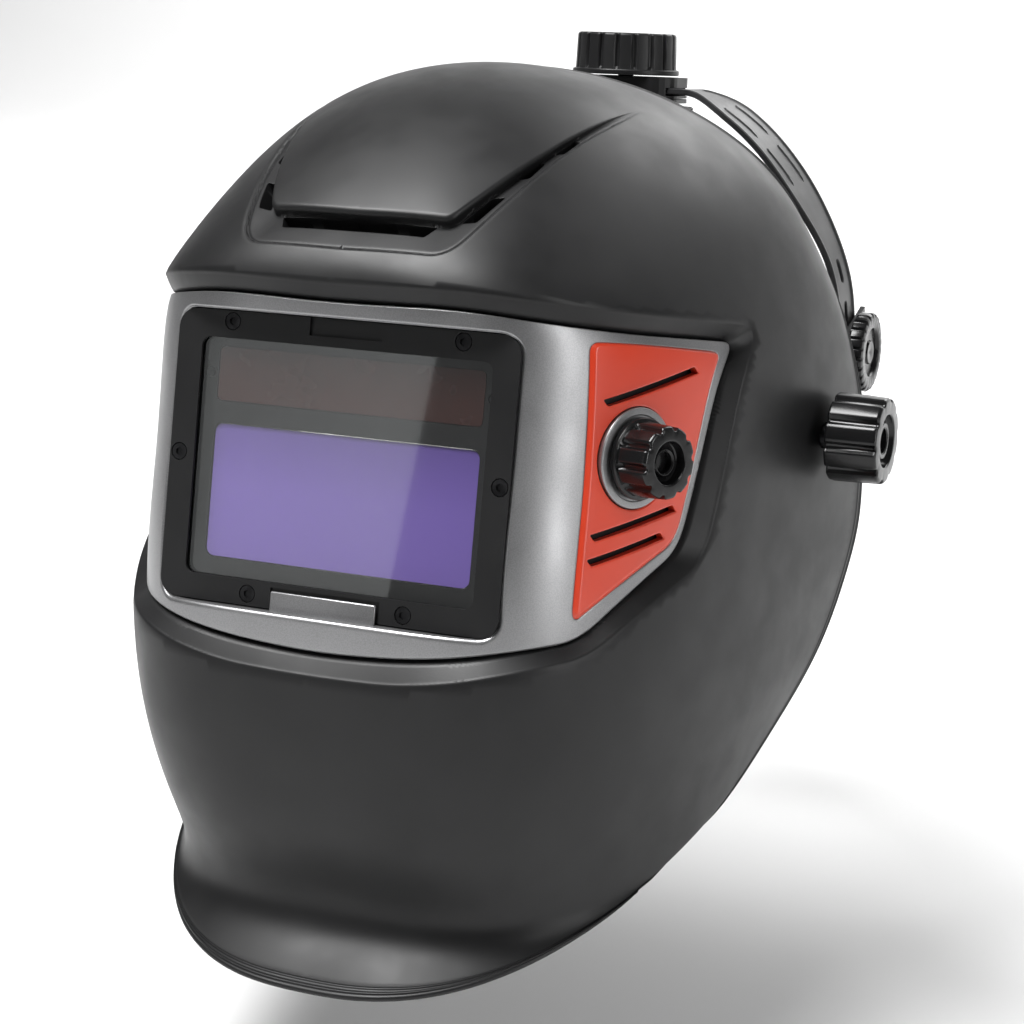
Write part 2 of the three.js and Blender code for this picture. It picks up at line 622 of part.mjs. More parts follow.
/** A screw head with its hexagonal recess, and its shank. */
function makeBezelScrew(x, s) {
  const head = rod([x, SCREW.front, s], [x, SCREW.seat, s], SCREW.head, 12);
  const shank = rod([x, SCREW.seat - 0.2, s], [x, SCREW.tip, s], SCREW.shank, 8);
  const socket = rod([x, SCREW.front - 1, s], [x, SCREW.socketFloor, s], SCREW.socket, 6);
  return carve(head, { add: [shank], cut: [socket] });
}

/** The inner frame that the bezel is screwed to and that holds the filter cartridge. */
function makeCarrier() {
  const shellSide = slab(trimLoop, -25, POCKET_DEPTH + SHELL_WALL + 1.6, TRIM_RINGS);
  const outline = grown(BEZEL, APERTURE_GAP + 1.7);
  const frontWall = carve(inWindow(panel(outline, -20, CARRIER.seat)), { cut: [shellSide] });
  const well = inWindow(panel(grown(BEZEL, 2.3), -40, CARRIER.wellFloor));
  const room = grown({ ...CARTRIDGE, corner: 1.2 }, 2 * GAP);
  const rearWall = inWindow(panel(grown(room, CARRIER.wall), CARRIER.ledge, CARRIER.back));
  const cartridgeRoom = inWindow(panel(room, CARTRIDGE.front - 0.4, 20));
  const sight = inWindow(panel(grown(BEZEL_OPENING, 0.8), -10, 5));
  const trimRoom = slab(trimLoop, 0, TRIM_DEPTH + TRIM_WALL + 1.1, TRIM_RINGS);
  const cuts = [well, cartridgeRoom, sight, trimRoom];
  for (const [x, s] of BEZEL_SCREWS) {
    for (const side of [-1, 1]) {
      cuts.push(inWindow(rod([side * x, -9, s], [side * x, 0, s], SCREW_HOLE.radius, 8)));
    }
  }
  return carve(frontWall, { add: [rearWall], cut: cuts });
}

function makeCartridge() {
  const body = panel({ ...CARTRIDGE, corner: 2.5 }, CARTRIDGE.front, CARTRIDGE.back);
  const cuts = [
    panel({ x: FILTER.x + GAP, low: -FILTER.half - GAP, high: FILTER.half + GAP, corner: 2.9 }, -5, 20),
    panel({ x: 51.3, low: -24.3, high: 24.3, corner: 2 }, 7.1, 20),
    panel({ x: SOLAR.x + GAP, low: SOLAR.low - GAP, high: SOLAR.high + GAP, corner: 1.9 }, -5, 0.9),
    block([33, 6.8, 32], [50, 20, 48]),
  ];
  const { x: sensorX, up, radius, back } = ARC_SENSOR;
  for (const x of [-sensorX, sensorX]) {
    cuts.push(rod([x, -5, up], [x, back + GAP, up], radius + GAP, 14));
  }
  for (const x of [...SETTING_KNOBS, TEST_BUTTON.x]) {
    cuts.push(rod([x, SHAFT_HOLE.floor, CONTROLS_UP], [x, 20, CONTROLS_UP], SHAFT_HOLE.radius, 16));
  }
  return carve(body, { cut: cuts });
}

/** A small setting knob on the cartridge's inner face, turned by a raised pointer bar. */
function makeSettingKnob(x) {
  const { radius, shaft, front, cap, face, pointer } = SETTING_KNOB;
  const up = CONTROLS_UP;
  const bar = block([x - radius + 1, face - 0.5, up - 1.1], [x + radius - 1, pointer, up + 1.1]);
  return carve(rod([x, cap, up], [x, face, up], radius, 24), {
    add: [rod([x, front, up], [x, cap + 0.7, up], shaft, 16), bar],
  });
}

function makeTestButton() {
  const { x, radius: capRadius, stem, front, cap, face } = TEST_BUTTON;
  const top = rod([x, cap, CONTROLS_UP], [x, face, CONTROLS_UP], capRadius, 20);
  return carve(top, { add: [rod([x, front, CONTROLS_UP], [x, cap + 0.2, CONTROLS_UP], stem, 16)] });
}

function makeRetainer() {
  const { x, low: plateLow, high, front, back, armFront, armHalf } = RETAINER;
  const plate = { x, low: plateLow, high, corner: 3 };
  const arms = [];
  for (const side of [-1, 1]) {
    for (const s of [-14, 36]) {
      const low = Math.min(side * (x - STRAP_WALL), side * x);
      arms.push(block([low, armFront, s - armHalf], [low + STRAP_WALL, front + 0.6, s + armHalf]));
    }
  }
  return carve(panel(plate, front, back), { add: arms, cut: [panel(RETAINER_SIGHT, 0, 20)] });
}

const COVER_LENS_SEAT = grown(COVER_LENS, 0.25);

function makeWindow() {
  const window = new THREE.Group();
  window.position.set(...WINDOW.centre);
  window.rotation.x = -WINDOW.lean;
  object.add(window);
  place('lens_bezel', makeBezel(), blackSatin, window);
  BEZEL_SCREWS.forEach(([x, s], i) => {
    place(`bezel_screw_left_${i + 1}`, makeBezelScrew(x, s), steel, window);
    place(`bezel_screw_right_${i + 1}`, makeBezelScrew(-x, s), steel, window);
  });
  place('outer_cover_lens', panel(COVER_LENS, COVER_LENS.front, COVER_LENS.back), clearLens, window);
  place('filter_cartridge', makeCartridge(), blackSatin, window);
  const glass = { x: FILTER.x, low: -FILTER.half, high: FILTER.half, corner: 2.6 };
  place('filter_glass', panel(glass, FILTER.front, FILTER.back), filterPurple, window);
  place('solar_panel', panel({ ...SOLAR, corner: 1.6 }, -0.4, 0.6), solarBrown, window);
  const { x: sensorX, up, radius, front, back } = ARC_SENSOR;
  const sensor = (x) => rod([x, front, up], [x, back, up], radius, 14);
  place('arc_sensor_left', sensor(sensorX), blackGloss, window);
  place('arc_sensor_right', sensor(-sensorX), blackGloss, window);
  const innerLens = { x: 51, low: -24, high: 24, corner: 1.8 };
  place('inner_cover_lens', panel(innerLens, 7.4, 8.3), clearLens, window);
  place('cartridge_retainer', makeRetainer(), blackSatin, window);
  place('sensitivity_knob', makeSettingKnob(SETTING_KNOBS[0]), blackGloss, window);
  place('delay_knob', makeSettingKnob(SETTING_KNOBS[1]), blackGloss, window);
  place('test_button', makeTestButton(), blackGloss, window);
  place('battery_cover', block(BATTERY_COVER.low, BATTERY_COVER.high), blackSatin, window);
  place('lens_carrier', makeCarrier(), blackSatin);
}
makeWindow();

// ---------------------------------------------------------------- headgear

/** A flat strap: each frame has a point, an outward direction, a width direction and half width. */
function strap(frames, wall) {
  return loft(frames.map(({ point, out, across, half }) => {
    const inner = [-1, 1].map((side) => point.clone().addScaledVector(across, side * half));
    const outer = inner.map((p) => p.clone().addScaledVector(out, wall));
    return [inner[0], inner[1], outer[1], outer[0]];
  }));
}

/** A frame of the head's oval: angle is 0 at the front and grows towards the left. */
function bandFrame(angle, offset, half) {
  const sin = Math.sin(angle);
  const cos = Math.cos(angle);
  const out = new THREE.Vector3(sin / BAND.halfX, -cos / BAND.halfY, 0).normalize();
  const point = new THREE.Vector3(
    BAND.halfX * sin,
    BAND.centreY - BAND.halfY * cos,
    BAND.midZ + BAND.slope * cos,
  ).addScaledVector(out, offset);
  return { point, out, across: new THREE.Vector3(0, 0, 1), half };
}

/** A stretch of the oval between two angles in degrees. */
function bandStretch(from, to, steps, offset, wall, half) {
  const frames = [];
  for (let i = 0; i <= steps; i++) {
    const angle = THREE.MathUtils.degToRad(from + (to - from) * (i / steps));
    frames.push(bandFrame(angle, offset, half));
  }
  return strap(frames, wall);
}

/** Frames along a smooth path of [a, b] points, turned into space by toSpace(a, b). */
function pathFrames(path, steps, toSpace, across, half) {
  const curve = new THREE.CatmullRomCurve3(path.map(([a, b]) => toSpace(a, b)));
  const frames = [];
  for (let i = 0; i <= steps; i++) {
    const along = curve.getTangentAt(i / steps);
    const out = new THREE.Vector3().crossVectors(across, along).normalize();
    frames.push({ point: curve.getPointAt(i / steps), out, across, half: half(i / steps) });
  }
  return frames;
}

/** The same solid on the other side of the middle plane. */
function mirrorX(geometry) {
  const mirror = geometry.clone();
  mirror.scale(-1, 1, 1);
  const index = Array.from(mirror.index.array);
  mirror.setIndex(index.reverse());
  mirror.computeVertexNormals();
  return mirror;
}

/** Places a left-hand solid and its mirror image as NAME_left and NAME_right. */
function placePair(name, geometry, material) {
  place(`${name}_left`, geometry, material);
  place(`${name}_right`, mirrorX(geometry), material);
}

function makeBand() {
  const band = bandStretch(-BAND_END, BAND_END, 30, 0, STRAP_WALL, BAND.halfHeight);
  place('headband', band, bandPlastic);
  const { end, inner, thickness, halfHeight } = BROW_PAD;
  place('brow_pad', bandStretch(-end, end, 18, inner, thickness, halfHeight), foam);
  const wrap = bandStretch(BAND_END + 0.2, REAR_END, 5, 0, STRAP_WALL, BAND.halfHeight);
  placePair('rear_strap', wrap, bandPlastic);
  const narrowing = (t) => THREE.MathUtils.smoothstep(t, HOOP.from, HOOP.to);
  const overCrown = pathFrames(HOOP_PATH, 14, (x, z) => new THREE.Vector3(x, 0, z),
    new THREE.Vector3(0, -1, 0), (t) => THREE.MathUtils.lerp(HOOP.upperHalf, HOOP.lowerHalf, narrowing(t)));
  overCrown.forEach((frame, i) => {
    frame.point.y = THREE.MathUtils.lerp(HOOP.upperY, HOOP.lowerY, narrowing(i / 14));
  });
  placePair('crown_strap', strap(overCrown, STRAP_WALL), bandPlastic);
}

/** The arm that carries a pivot: it runs outside the band to the side dial. */
function makeArms() {
  const widths = (t) => (t < 0.2 ? 9 : 8 + 8 * Math.max(0, t - 0.7) / 0.3);
  const frames = pathFrames(ARM_PATH, 16, (x, y) => new THREE.Vector3(x, y, 0),
    new THREE.Vector3(0, 0, -1), widths);
  frames.forEach((frame, i) => {
    frame.point.z = SIDE_DIAL.z * Math.max(0, i / 16 - 0.35) / 0.65 - 1.5;
  });
  const arm = carve(strap(frames, STRAP_WALL), {
    cut: [rod([80, 0, 0], [120, 0, 0], PIVOT.stud + GAP, 20)],
  });
  placePair('side_arm', arm, bandPlastic);
  const stud = carve(rod([PIVOT.headX - 2.2, 0, 0], [PIVOT.headX, 0, 0], PIVOT.studHead, 28),
    { add: [rod([PIVOT.headX - 1, 0, 0], [PIVOT.tipX, 0, 0], PIVOT.stud, 20)] });
  placePair('pivot_stud', stud, steel);
  const washer = carve(rod([102, 0, 0], [109, 0, 0], PIVOT.washer, 28),
    { cut: [rod([90, 0, 0], [120, 0, 0], PIVOT.stud + GAP, 20)] });
  placePair('pivot_spacer', washer, blackSatin);
}

function makeTensionKnobs() {
  const knob = ribbedKnob({ radius: TENSION_KNOB.radius, height: TENSION_KNOB.height, lobes: 10,
    rib: 1.6, skirt: 0, bore: PIVOT.stud + GAP, boreDepth: PIVOT.tipX - TENSION_KNOB.inner + GAP,
    face: 9, faceDepth: 3.5 });
  knob.rotateZ(-Math.PI / 2);
  knob.translate(TENSION_KNOB.inner + 0.8, 0, 0);
  placePair('tension_knob', knob, blackGloss);
}

/** The knurled dial that clamps an arm to the band. */
function makeSideDials() {
  const { radius, width } = SIDE_DIAL;
  const knob = ribbedKnob({ radius, height: width, lobes: 12, rib: 1.0, skirt: 0,
    bore: 2.6, boreDepth: 3, face: 9, faceDepth: 1.6 });
  knob.rotateZ(-Math.PI / 2);
  knob.translate(SIDE_DIAL.inner + 1.2, SIDE_DIAL.y, SIDE_DIAL.z);
  placePair('side_dial', knob, blackGloss);
}

/** A flat plate in x and y with a rounded outline, between two heights. */
function roundedPlate(halfX, halfY, corner, z0, z1) {
  const plate = panel({ x: halfX, low: -halfY, high: halfY, corner }, -z1, -z0);
  plate.rotateX(-Math.PI / 2);
  return plate;
}

/** The pinion: narrow teeth with play, and the shaft that the knob is pressed on. */
function pinion() {
  const shape = new THREE.Shape();
  const tooth = (2 * Math.PI) / RATCHET.teeth;
  const corners = [[-0.26, -1.1], [-0.1, 0.9], [0.1, 0.9], [0.26, -1.1]];
  for (let i = 0; i < RATCHET.teeth; i++) {
    for (const [share, height] of corners) {
      const angle = (i + share) * tooth;
      const r = RATCHET.pitch + height;
      if (i === 0 && share === corners[0][0]) shape.moveTo(r * Math.cos(angle), r * Math.sin(angle));
      else shape.lineTo(r * Math.cos(angle), r * Math.sin(angle));
    }
  }
  const gear = new THREE.ExtrudeGeometry(shape, { depth: 3.6, bevelEnabled: false });
  gear.translate(0, 0, 2.6);
  return carve(gear, { add: [rod([0, 0, 4], [0, 0, 20], 3, 16)] });
}

/** The toothed tail of the strap that leaves the housing on its +x side. */
function toothedTail() {
  const shape = new THREE.Shape();
  const pitch = (2 * Math.PI * RATCHET.pitch) / RATCHET.teeth;
  shape.moveTo(TAIL.wide, TAIL.outer);
  shape.lineTo(-17, TAIL.outer);
  shape.lineTo(-17, TAIL.inner);
  for (let i = -4; i < 5; i++) {
    const x = (i + 0.5) * pitch;
    for (const [dx, y] of [[-0.8, TAIL.inner], [-0.35, 5.4], [0.35, 5.4], [0.8, TAIL.inner]]) {
      shape.lineTo(x + dx, y);
    }
  }
  shape.lineTo(TAIL.wide - 4, TAIL.inner);
  shape.lineTo(TAIL.wide, 0);
  const tail = new THREE.ExtrudeGeometry(shape, { depth: STRAP_WALL, bevelEnabled: false });
  tail.translate(0, 0, TAIL.low);
  return tail;
}

/** The wide end of the toothed tail, which curves down by drop towards its own strap. */
function tailEnd(half, drop) {
  const frames = [0, 0.25, 0.5, 0.75, 1].map((t) => ({
    point: new THREE.Vector3(TAIL.wide - 0.5 + (TAIL.end - TAIL.wide) * t, 0, TAIL.low - drop * t * t),
    out: new THREE.Vector3(0, 0, 1),
    across: new THREE.Vector3(0, 1, 0),
    half,
  }));
  return strap(frames, STRAP_WALL);
}

/** A ratchet: housing, base, pinion, knob, pad and two toothed tails. tailNames: +x, then -x. */
function makeRatchet(name, tailNames, { half, drop, knobRadius, knobHeight, padHalf }) {
  const unit = new THREE.Group();
  object.add(unit);
  const { halfX, halfY, base, height } = RATCHET;
  place(`${name}_base`, roundedPlate(halfX, halfY, 9, 0, base), blackSatin, unit);
  const cuts = [
    roundedPlate(halfX - 1.5, halfY - 1.5, 7.5, -1, height - 1.5),
    block([-halfX - 2, -halfY + 3, 2.8], [halfX + 2, halfY - 3, 5.8]),
    rod([0, 0, 5], [0, 0, 12], 3.3, 20),
  ];
  place(`${name}_housing`, carve(roundedPlate(halfX, halfY, 9, base + GAP, height), { cut: cuts }),
    blackSatin, unit);
  place(`${name}_pinion`, pinion(), steel, unit);
  const knob = ribbedKnob({ radius: knobRadius, height: knobHeight, lobes: 12, rib: 1.4, skirt: 2,
    bore: 3.3, boreDepth: 10.4, face: knobRadius * 0.6, faceDepth: 2.5 });
  knob.rotateX(Math.PI / 2);
  knob.translate(0, 0, height + 0.6);
  place(`${name}_knob`, knob, blackGloss, unit);
  place(`${name}_pad`, roundedPlate(padHalf[0], padHalf[1], 8, -PAD_THICKNESS, -GAP), foam, unit);
  const tail = carve(toothedTail(), { add: [tailEnd(half, drop)] });
  place(`${tailNames[0]}`, tail, bandPlastic, unit);
  const other = tail.clone();
  other.rotateZ(Math.PI);
  place(`${tailNames[1]}`, other, bandPlastic, unit);
  return unit;
}

function makeHeadgear() {
  makeBand();
  makeArms();
  makeTensionKnobs();
  makeSideDials();
  const crown = makeRatchet('crown', ['crown_rack_left', 'crown_rack_right'],
    { half: 12, drop: 3.2, knobRadius: 20.4, knobHeight: 15.6, padHalf: [28, 11] });
  crown.position.set(0, CROWN.y, CROWN.z);
  crown.rotation.x = -CROWN.leanBack;
  const rear = makeRatchet('rear', ['rear_rack_right', 'rear_rack_left'],
    { half: BAND.halfHeight, drop: 4.4, knobRadius: 21, knobHeight: 15.8, padHalf: [30, 20] });
  rear.position.set(0, REAR.y, REAR.z);
  rear.quaternion.setFromRotationMatrix(new THREE.Matrix4().makeBasis(
    new THREE.Vector3(-1, 0, 0), new THREE.Vector3(0, 0, 1), new THREE.Vector3(0, 1, 0)));
}
makeHeadgear();

/** The lead from the shade control to the cartridge, clipped along the inside of the shell. */
function makeShadeLead() {
  const start = below(...SHADE_KNOB_UV, PLATE_DEPTH + 14.8);
  const end = inWindowPoint(44, 8.7, 28.2);
  const inward = knobNormal.clone().multiplyScalar(-1);
  const path = [
    start,
    start.clone().addScaledVector(inward, 5),
    start.clone().addScaledVector(inward, 10).add(new THREE.Vector3(-3, -2, 3)),
    inWindowPoint(45.5, 26, 21),
    inWindowPoint(44.3, 16, 27),
    end,
  ];
  const section = new THREE.Shape();
  section.absarc(0, 0, LEAD_RADIUS, 0, 2 * Math.PI);
  const lead = new THREE.ExtrudeGeometry(section, {
    steps: 12, curveSegments: 4, extrudePath: new THREE.CatmullRomCurve3(path),
  });
  place('shade_control_lead', lead, cableRubber);
}
makeShadeLead();

export default object;
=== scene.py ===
import math

import bmesh
import bpy
import numpy as np
from mathutils import Matrix, Vector
from mathutils.geometry import delaunay_2d_cdt


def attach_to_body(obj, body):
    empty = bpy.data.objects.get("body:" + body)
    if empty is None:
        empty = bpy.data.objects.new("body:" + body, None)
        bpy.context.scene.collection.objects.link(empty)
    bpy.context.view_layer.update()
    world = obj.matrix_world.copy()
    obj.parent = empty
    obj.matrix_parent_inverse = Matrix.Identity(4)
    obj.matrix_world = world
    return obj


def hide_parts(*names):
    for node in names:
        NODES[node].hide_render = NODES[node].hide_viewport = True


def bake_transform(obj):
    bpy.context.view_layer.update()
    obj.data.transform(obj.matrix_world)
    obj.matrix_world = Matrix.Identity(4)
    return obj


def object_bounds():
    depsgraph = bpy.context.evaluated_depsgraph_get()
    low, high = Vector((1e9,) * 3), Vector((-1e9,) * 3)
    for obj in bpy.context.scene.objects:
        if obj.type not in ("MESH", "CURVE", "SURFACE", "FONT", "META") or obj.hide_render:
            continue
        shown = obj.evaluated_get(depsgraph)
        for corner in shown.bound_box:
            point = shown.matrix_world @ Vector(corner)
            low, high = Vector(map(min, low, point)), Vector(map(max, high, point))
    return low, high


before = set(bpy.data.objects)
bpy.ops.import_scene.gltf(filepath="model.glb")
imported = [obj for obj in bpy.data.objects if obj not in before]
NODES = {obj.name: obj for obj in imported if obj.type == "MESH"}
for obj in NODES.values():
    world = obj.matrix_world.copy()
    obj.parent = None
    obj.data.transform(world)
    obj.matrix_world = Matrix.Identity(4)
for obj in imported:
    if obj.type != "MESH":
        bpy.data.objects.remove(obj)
CAD_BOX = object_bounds()
MM = 0.001

# Lengths in the helmet's own shapes are in millimetres; objects, lights and textures are in metres.


def add_object(name, data):
    obj = bpy.data.objects.new(name, data)
    bpy.context.scene.collection.objects.link(obj)
    return obj


def shade_smooth(mesh, sharp=None):
    """Smooth shading, with edges over the angle sharp, in degrees, kept sharp."""
    mesh.polygons.foreach_set("use_smooth", [True] * len(mesh.polygons))
    if sharp:
        mesh.set_sharp_from_angle(angle=math.radians(sharp))


# ---------------------------------------------------------------- camera, lights and floor

CAMERA_AZIMUTH = math.radians(24.0)
CAMERA_ELEVATION = math.radians(15.57)
CAMERA_PLACE = Vector((340.24, -773.0, 195.17)) * MM
CAMERA_LENS = 84.375
SENSOR_WIDTH = 36.0

WORLD_STRENGTH = 0.14
# Softboxes: name, place, target, width, height and power in watts.
LIGHTS = [
    ("top", (-0.35, -0.45, 1.35), (0.0, -0.05, 0.0), 0.8, 0.8, 46.0),
    ("window_card", (-0.91, -1.40, 0.22), (0.0, -0.14, 0.0), 0.6, 0.9, 0.85),
    ("front_strip", (1.55, -0.34, 0.38), (0.05, -0.08, 0.0), 0.18, 1.3, 8.0),
    ("rear", (0.3, 1.2, 0.9), (0.0, 0.05, 0.05), 0.7, 0.7, 6.0),
    ("backdrop", (0.0, 1.3, 2.0), (0.0, 3.6, 0.6), 3.0, 0.6, 150.0),
]
COVE = {"below": 0.06, "half_width": 9.0, "front": -7.0, "wall": 3.6, "top": 5.0, "turn": 1.2}


def make_camera():
    data = bpy.data.cameras.new("camera")
    data.sensor_width = SENSOR_WIDTH
    data.lens = CAMERA_LENS
    camera = add_object("camera", data)
    camera.location = CAMERA_PLACE
    camera.rotation_euler = (math.pi / 2 - CAMERA_ELEVATION, 0.0, CAMERA_AZIMUTH)
    bpy.context.scene.camera = camera


def make_area_light(name, place, target, width, height, power):
    data = bpy.data.lights.new(name, "AREA")
    data.shape = "RECTANGLE"
    data.size, data.size_y = width, height
    data.energy = power
    light = add_object(name, data)
    light.location = place
    direction = Vector(target) - Vector(place)
    light.rotation_euler = direction.to_track_quat("-Z", "Y").to_euler()


def make_studio():
    world = bpy.data.worlds.new("studio")
    world.use_nodes = True
    background = world.node_tree.nodes["Background"]
    background.inputs["Color"].default_value = (1.0, 1.0, 1.0, 1.0)
    background.inputs["Strength"].default_value = WORLD_STRENGTH
    bpy.context.scene.world = world
    bpy.context.scene.view_settings.view_transform = "Standard"
    for light in LIGHTS:
        make_area_light(*light)
    paper = Finish("studio_paper", color=(0.72, 0.72, 0.72), roughness=0.9)
    make_cove(paper.material)


def make_cove(material):
    """A floor that curves up into a backdrop."""
    low, wall, turn = CAD_BOX[0][2] - COVE["below"], COVE["wall"], COVE["turn"]
    profile = [(COVE["front"], low)]
    profile += [(wall - turn + turn * math.sin(a), low + turn * (1 - math.cos(a)))
                for a in np.linspace(0, math.pi / 2, 13)]
    profile.append((wall, COVE["top"]))
    verts = [(x, y, z) for y, z in profile for x in (-COVE["half_width"], COVE["half_width"])]
    faces = [(2 * i, 2 * i + 1, 2 * i + 3, 2 * i + 2) for i in range(len(profile) - 1)]
    mesh = bpy.data.meshes.new("cove")
    mesh.from_pydata(verts, [], faces)
    shade_smooth(mesh)
    mesh.materials.append(material)
    return add_object("cove", mesh)


# ---------------------------------------------------------------- materials


class Finish:
    """A node material: a principled shader with procedural colour, roughness and bump added."""

    def __init__(self, name, color=(0.5, 0.5, 0.5), roughness=0.5, metallic=0.0, specular=0.5, **extra):
        self.material = bpy.data.materials.new(name)
        self.material.use_nodes = True
        self.tree = self.material.node_tree
        self.shader = self.tree.nodes["Principled BSDF"]
        self.shader.inputs["Base Color"].default_value = (*color, 1.0)
        self.shader.inputs["Roughness"].default_value = roughness
        self.shader.inputs["Metallic"].default_value = metallic
        self.shader.inputs["Specular IOR Level"].default_value = specular
        for socket, value in extra.items():
            self.shader.inputs[socket.replace("_", " ")].default_value = value
        self.bump_socket = None

    def node(self, kind, **values):
        node = self.tree.nodes.new(kind)
        for key, value in values.items():
            if key in node.inputs:
                node.inputs[key].default_value = value
            else:
                setattr(node, key, value)
        return node

    def link(self, a, b):
        self.tree.links.new(a, b)

    def place(self, scale=(1, 1, 1)):
        """Object coordinates, scaled."""
        coordinate = self.node("ShaderNodeTexCoord")
        mapping = self.node("ShaderNodeMapping", Scale=scale)
        self.link(coordinate.outputs["Object"], mapping.inputs["Vector"])
        return mapping.outputs["Vector"]

    def texture(self, kind, output="Fac", stretch=(1, 1, 1), **values):
        node = self.node(kind, **values)
        self.link(self.place(stretch), node.inputs["Vector"])
        return node.outputs[output]

    def noise(self, scale, detail=3.0, stretch=(1, 1, 1)):
        return self.texture("ShaderNodeTexNoise", stretch=stretch, Scale=scale, Detail=detail, Roughness=0.5)

    def waves(self, direction, scale, distortion):
        return self.texture("ShaderNodeTexWave", wave_type="BANDS", bands_direction=direction, Scale=scale,
                            Distortion=distortion)

    def ramp(self, factor, low, high, start=0.35, end=0.65):
        """Maps a factor to a range of numbers or to a range of colours."""
        if isinstance(low, (tuple, list)):
            node = self.node("ShaderNodeValToRGB")
            for element, place, color in zip(node.color_ramp.elements, (start, end), (low, high)):
                element.position = place
                element.color = (*color, 1.0)
            self.link(factor, node.inputs["Fac"])
            return node.outputs["Color"]
        node = self.node("ShaderNodeMapRange")
        for socket, value in (("From Min", start), ("From Max", end), ("To Min", low), ("To Max", high)):
            node.inputs[socket].default_value = value
        self.link(factor, node.inputs["Value"])
        return node.outputs["Result"]

    def color(self, output):
        self.link(output, self.shader.inputs["Base Color"])

    def roughness(self, output):
        self.link(output, self.shader.inputs["Roughness"])

    def bump(self, height, strength, distance):
        """Adds a layer of bump on top of those already there. distance is in metres."""
        node = self.node("ShaderNodeBump", Strength=strength, Distance=distance)
        self.link(height, node.inputs["Height"])
        if self.bump_socket is not None:
            self.link(self.bump_socket, node.inputs["Normal"])
        self.bump_socket = node.outputs["Normal"]
        self.link(self.bump_socket, self.shader.inputs["Normal"])


def moulded(name, dark, light, roughness, grain, grain_scale, **extra):
    """Moulded plastic: fine grain, faint mottling, and roughness that varies a little."""
    finish = Finish(name, color=dark, roughness=roughness, **extra)
    finish.color(finish.ramp(finish.noise(22.0, 4.0), dark, light, 0.3, 0.75))
    finish.roughness(finish.ramp(finish.noise(60.0, 5.0), roughness - 0.035, roughness + 0.045))
    finish.bump(finish.noise(grain_scale, 2.0), 0.35, grain)
    return finish.material


def make_materials():
    return {
        "shell": moulded("shell_plastic", (0.0070, 0.0070, 0.0073), (0.0095, 0.0095, 0.0100), 0.42, 0.00004,
                         3200.0, specular=0.32),
        "trim": trim_paint(),
        "red": moulded("red_plastic", (0.60, 0.040, 0.012), (0.67, 0.052, 0.016), 0.33, 0.00002, 1800.0,
                       Coat_Weight=0.25, Coat_Roughness=0.25),
        "gloss": moulded("gloss_black_plastic", (0.0045, 0.0045, 0.0048), (0.0075, 0.0075, 0.008), 0.22,
                         0.00002, 1400.0, specular=0.4),
        "nylon": moulded("black_nylon", (0.006, 0.006, 0.0063), (0.010, 0.010, 0.0105), 0.40, 0.00003, 2400.0,
                         specular=0.35),
        "band": moulded("band_plastic", (0.012, 0.012, 0.0125), (0.020, 0.020, 0.021), 0.38, 0.00003, 2000.0),
        "steel": dark_steel(),
        "foam": pad_cloth(),
        "cable": moulded("cable_rubber", (0.010, 0.010, 0.010), (0.018, 0.018, 0.018), 0.6, 0.00004, 2200.0),
        "cover": clear_cover(),
        "filter": filter_glass(),
        "solar": solar_cells(),
    }


def trim_paint():
    """Silver grey metallic paint: fine flakes under a satin coat."""
    finish = Finish("silver_trim", color=(0.30, 0.30, 0.305), roughness=0.36, metallic=0.85)
    flakes = finish.texture("ShaderNodeTexVoronoi", "Distance", Scale=2600.0)
    finish.color(finish.ramp(flakes, (0.32, 0.32, 0.325), (0.26, 0.26, 0.265), 0.1, 0.75))
    finish.roughness(finish.ramp(finish.noise(40.0, 4.0), 0.33, 0.40))
    finish.bump(finish.noise(3000.0, 1.0), 0.25, 0.00002)
    return finish.material


def dark_steel():
    finish = Finish("dark_steel", color=(0.05, 0.05, 0.052), roughness=0.36, metallic=0.9)
    finish.color(finish.ramp(finish.noise(300.0, 4.0), (0.016, 0.016, 0.017), (0.034, 0.034, 0.036)))
    finish.roughness(finish.ramp(finish.noise(500.0, 3.0), 0.28, 0.46))
    finish.bump(finish.noise(1500.0, 2.0, (1, 1, 6)), 0.3, 0.00002)
    return finish.material


def pad_cloth():
    """Black knitted cloth: interlocked loops in two directions, with a soft sheen, and painted shade that
    darkens the hollows between the loops.
    """
    finish = Finish("pad_foam", color=(0.018, 0.018, 0.02), roughness=0.92, Sheen_Weight=0.35,
                    Sheen_Roughness=0.5)
    rows = finish.waves("Z", 330.0, 1.2)
    columns = finish.waves("DIAGONAL", 300.0, 1.0)
    # Painted shade: the colour follows the bump's rows, darker in the hollows and lighter on the raised
    # loops.
    finish.color(finish.ramp(rows, (0.010, 0.010, 0.011), (0.028, 0.028, 0.031), 0.1, 0.9))
    finish.bump(rows, 0.6, 0.00025)
    finish.bump(columns, 0.5, 0.0002)
    return finish.material


def clear_cover():
    """Clear cover sheet: almost all see-through, with a clean reflection and a faint haze."""
    finish = Finish("clear_cover", color=(0.9, 0.93, 0.93), roughness=0.02, metallic=1.0)
    haze = finish.noise(14.0, 3.0)
    finish.shader.inputs["Alpha"].default_value = 0.075
    finish.link(finish.ramp(haze, 0.065, 0.085), finish.shader.inputs["Alpha"])
    finish.roughness(finish.ramp(haze, 0.015, 0.03))
    return finish.material


def filter_glass():
    """Coated filter glass: violet blue, with a painted highlight that makes it paler towards its lower side.
    """
    finish = Finish("filter_glass", color=(0.19, 0.13, 0.46), roughness=0.10, Coat_Weight=0.6,
                    Coat_Roughness=0.03)
    gradient = finish.node("ShaderNodeSeparateXYZ")
    finish.link(finish.place(), gradient.inputs["Vector"])
    # Painted highlight: this colour ramp makes the glass paler towards its lower side.
    finish.color(finish.ramp(gradient.outputs["Z"], (0.145, 0.096, 0.34), (0.100, 0.064, 0.25), -0.025, 0.02))
    finish.roughness(finish.ramp(finish.noise(30.0, 2.0), 0.08, 0.13))
    return finish.material


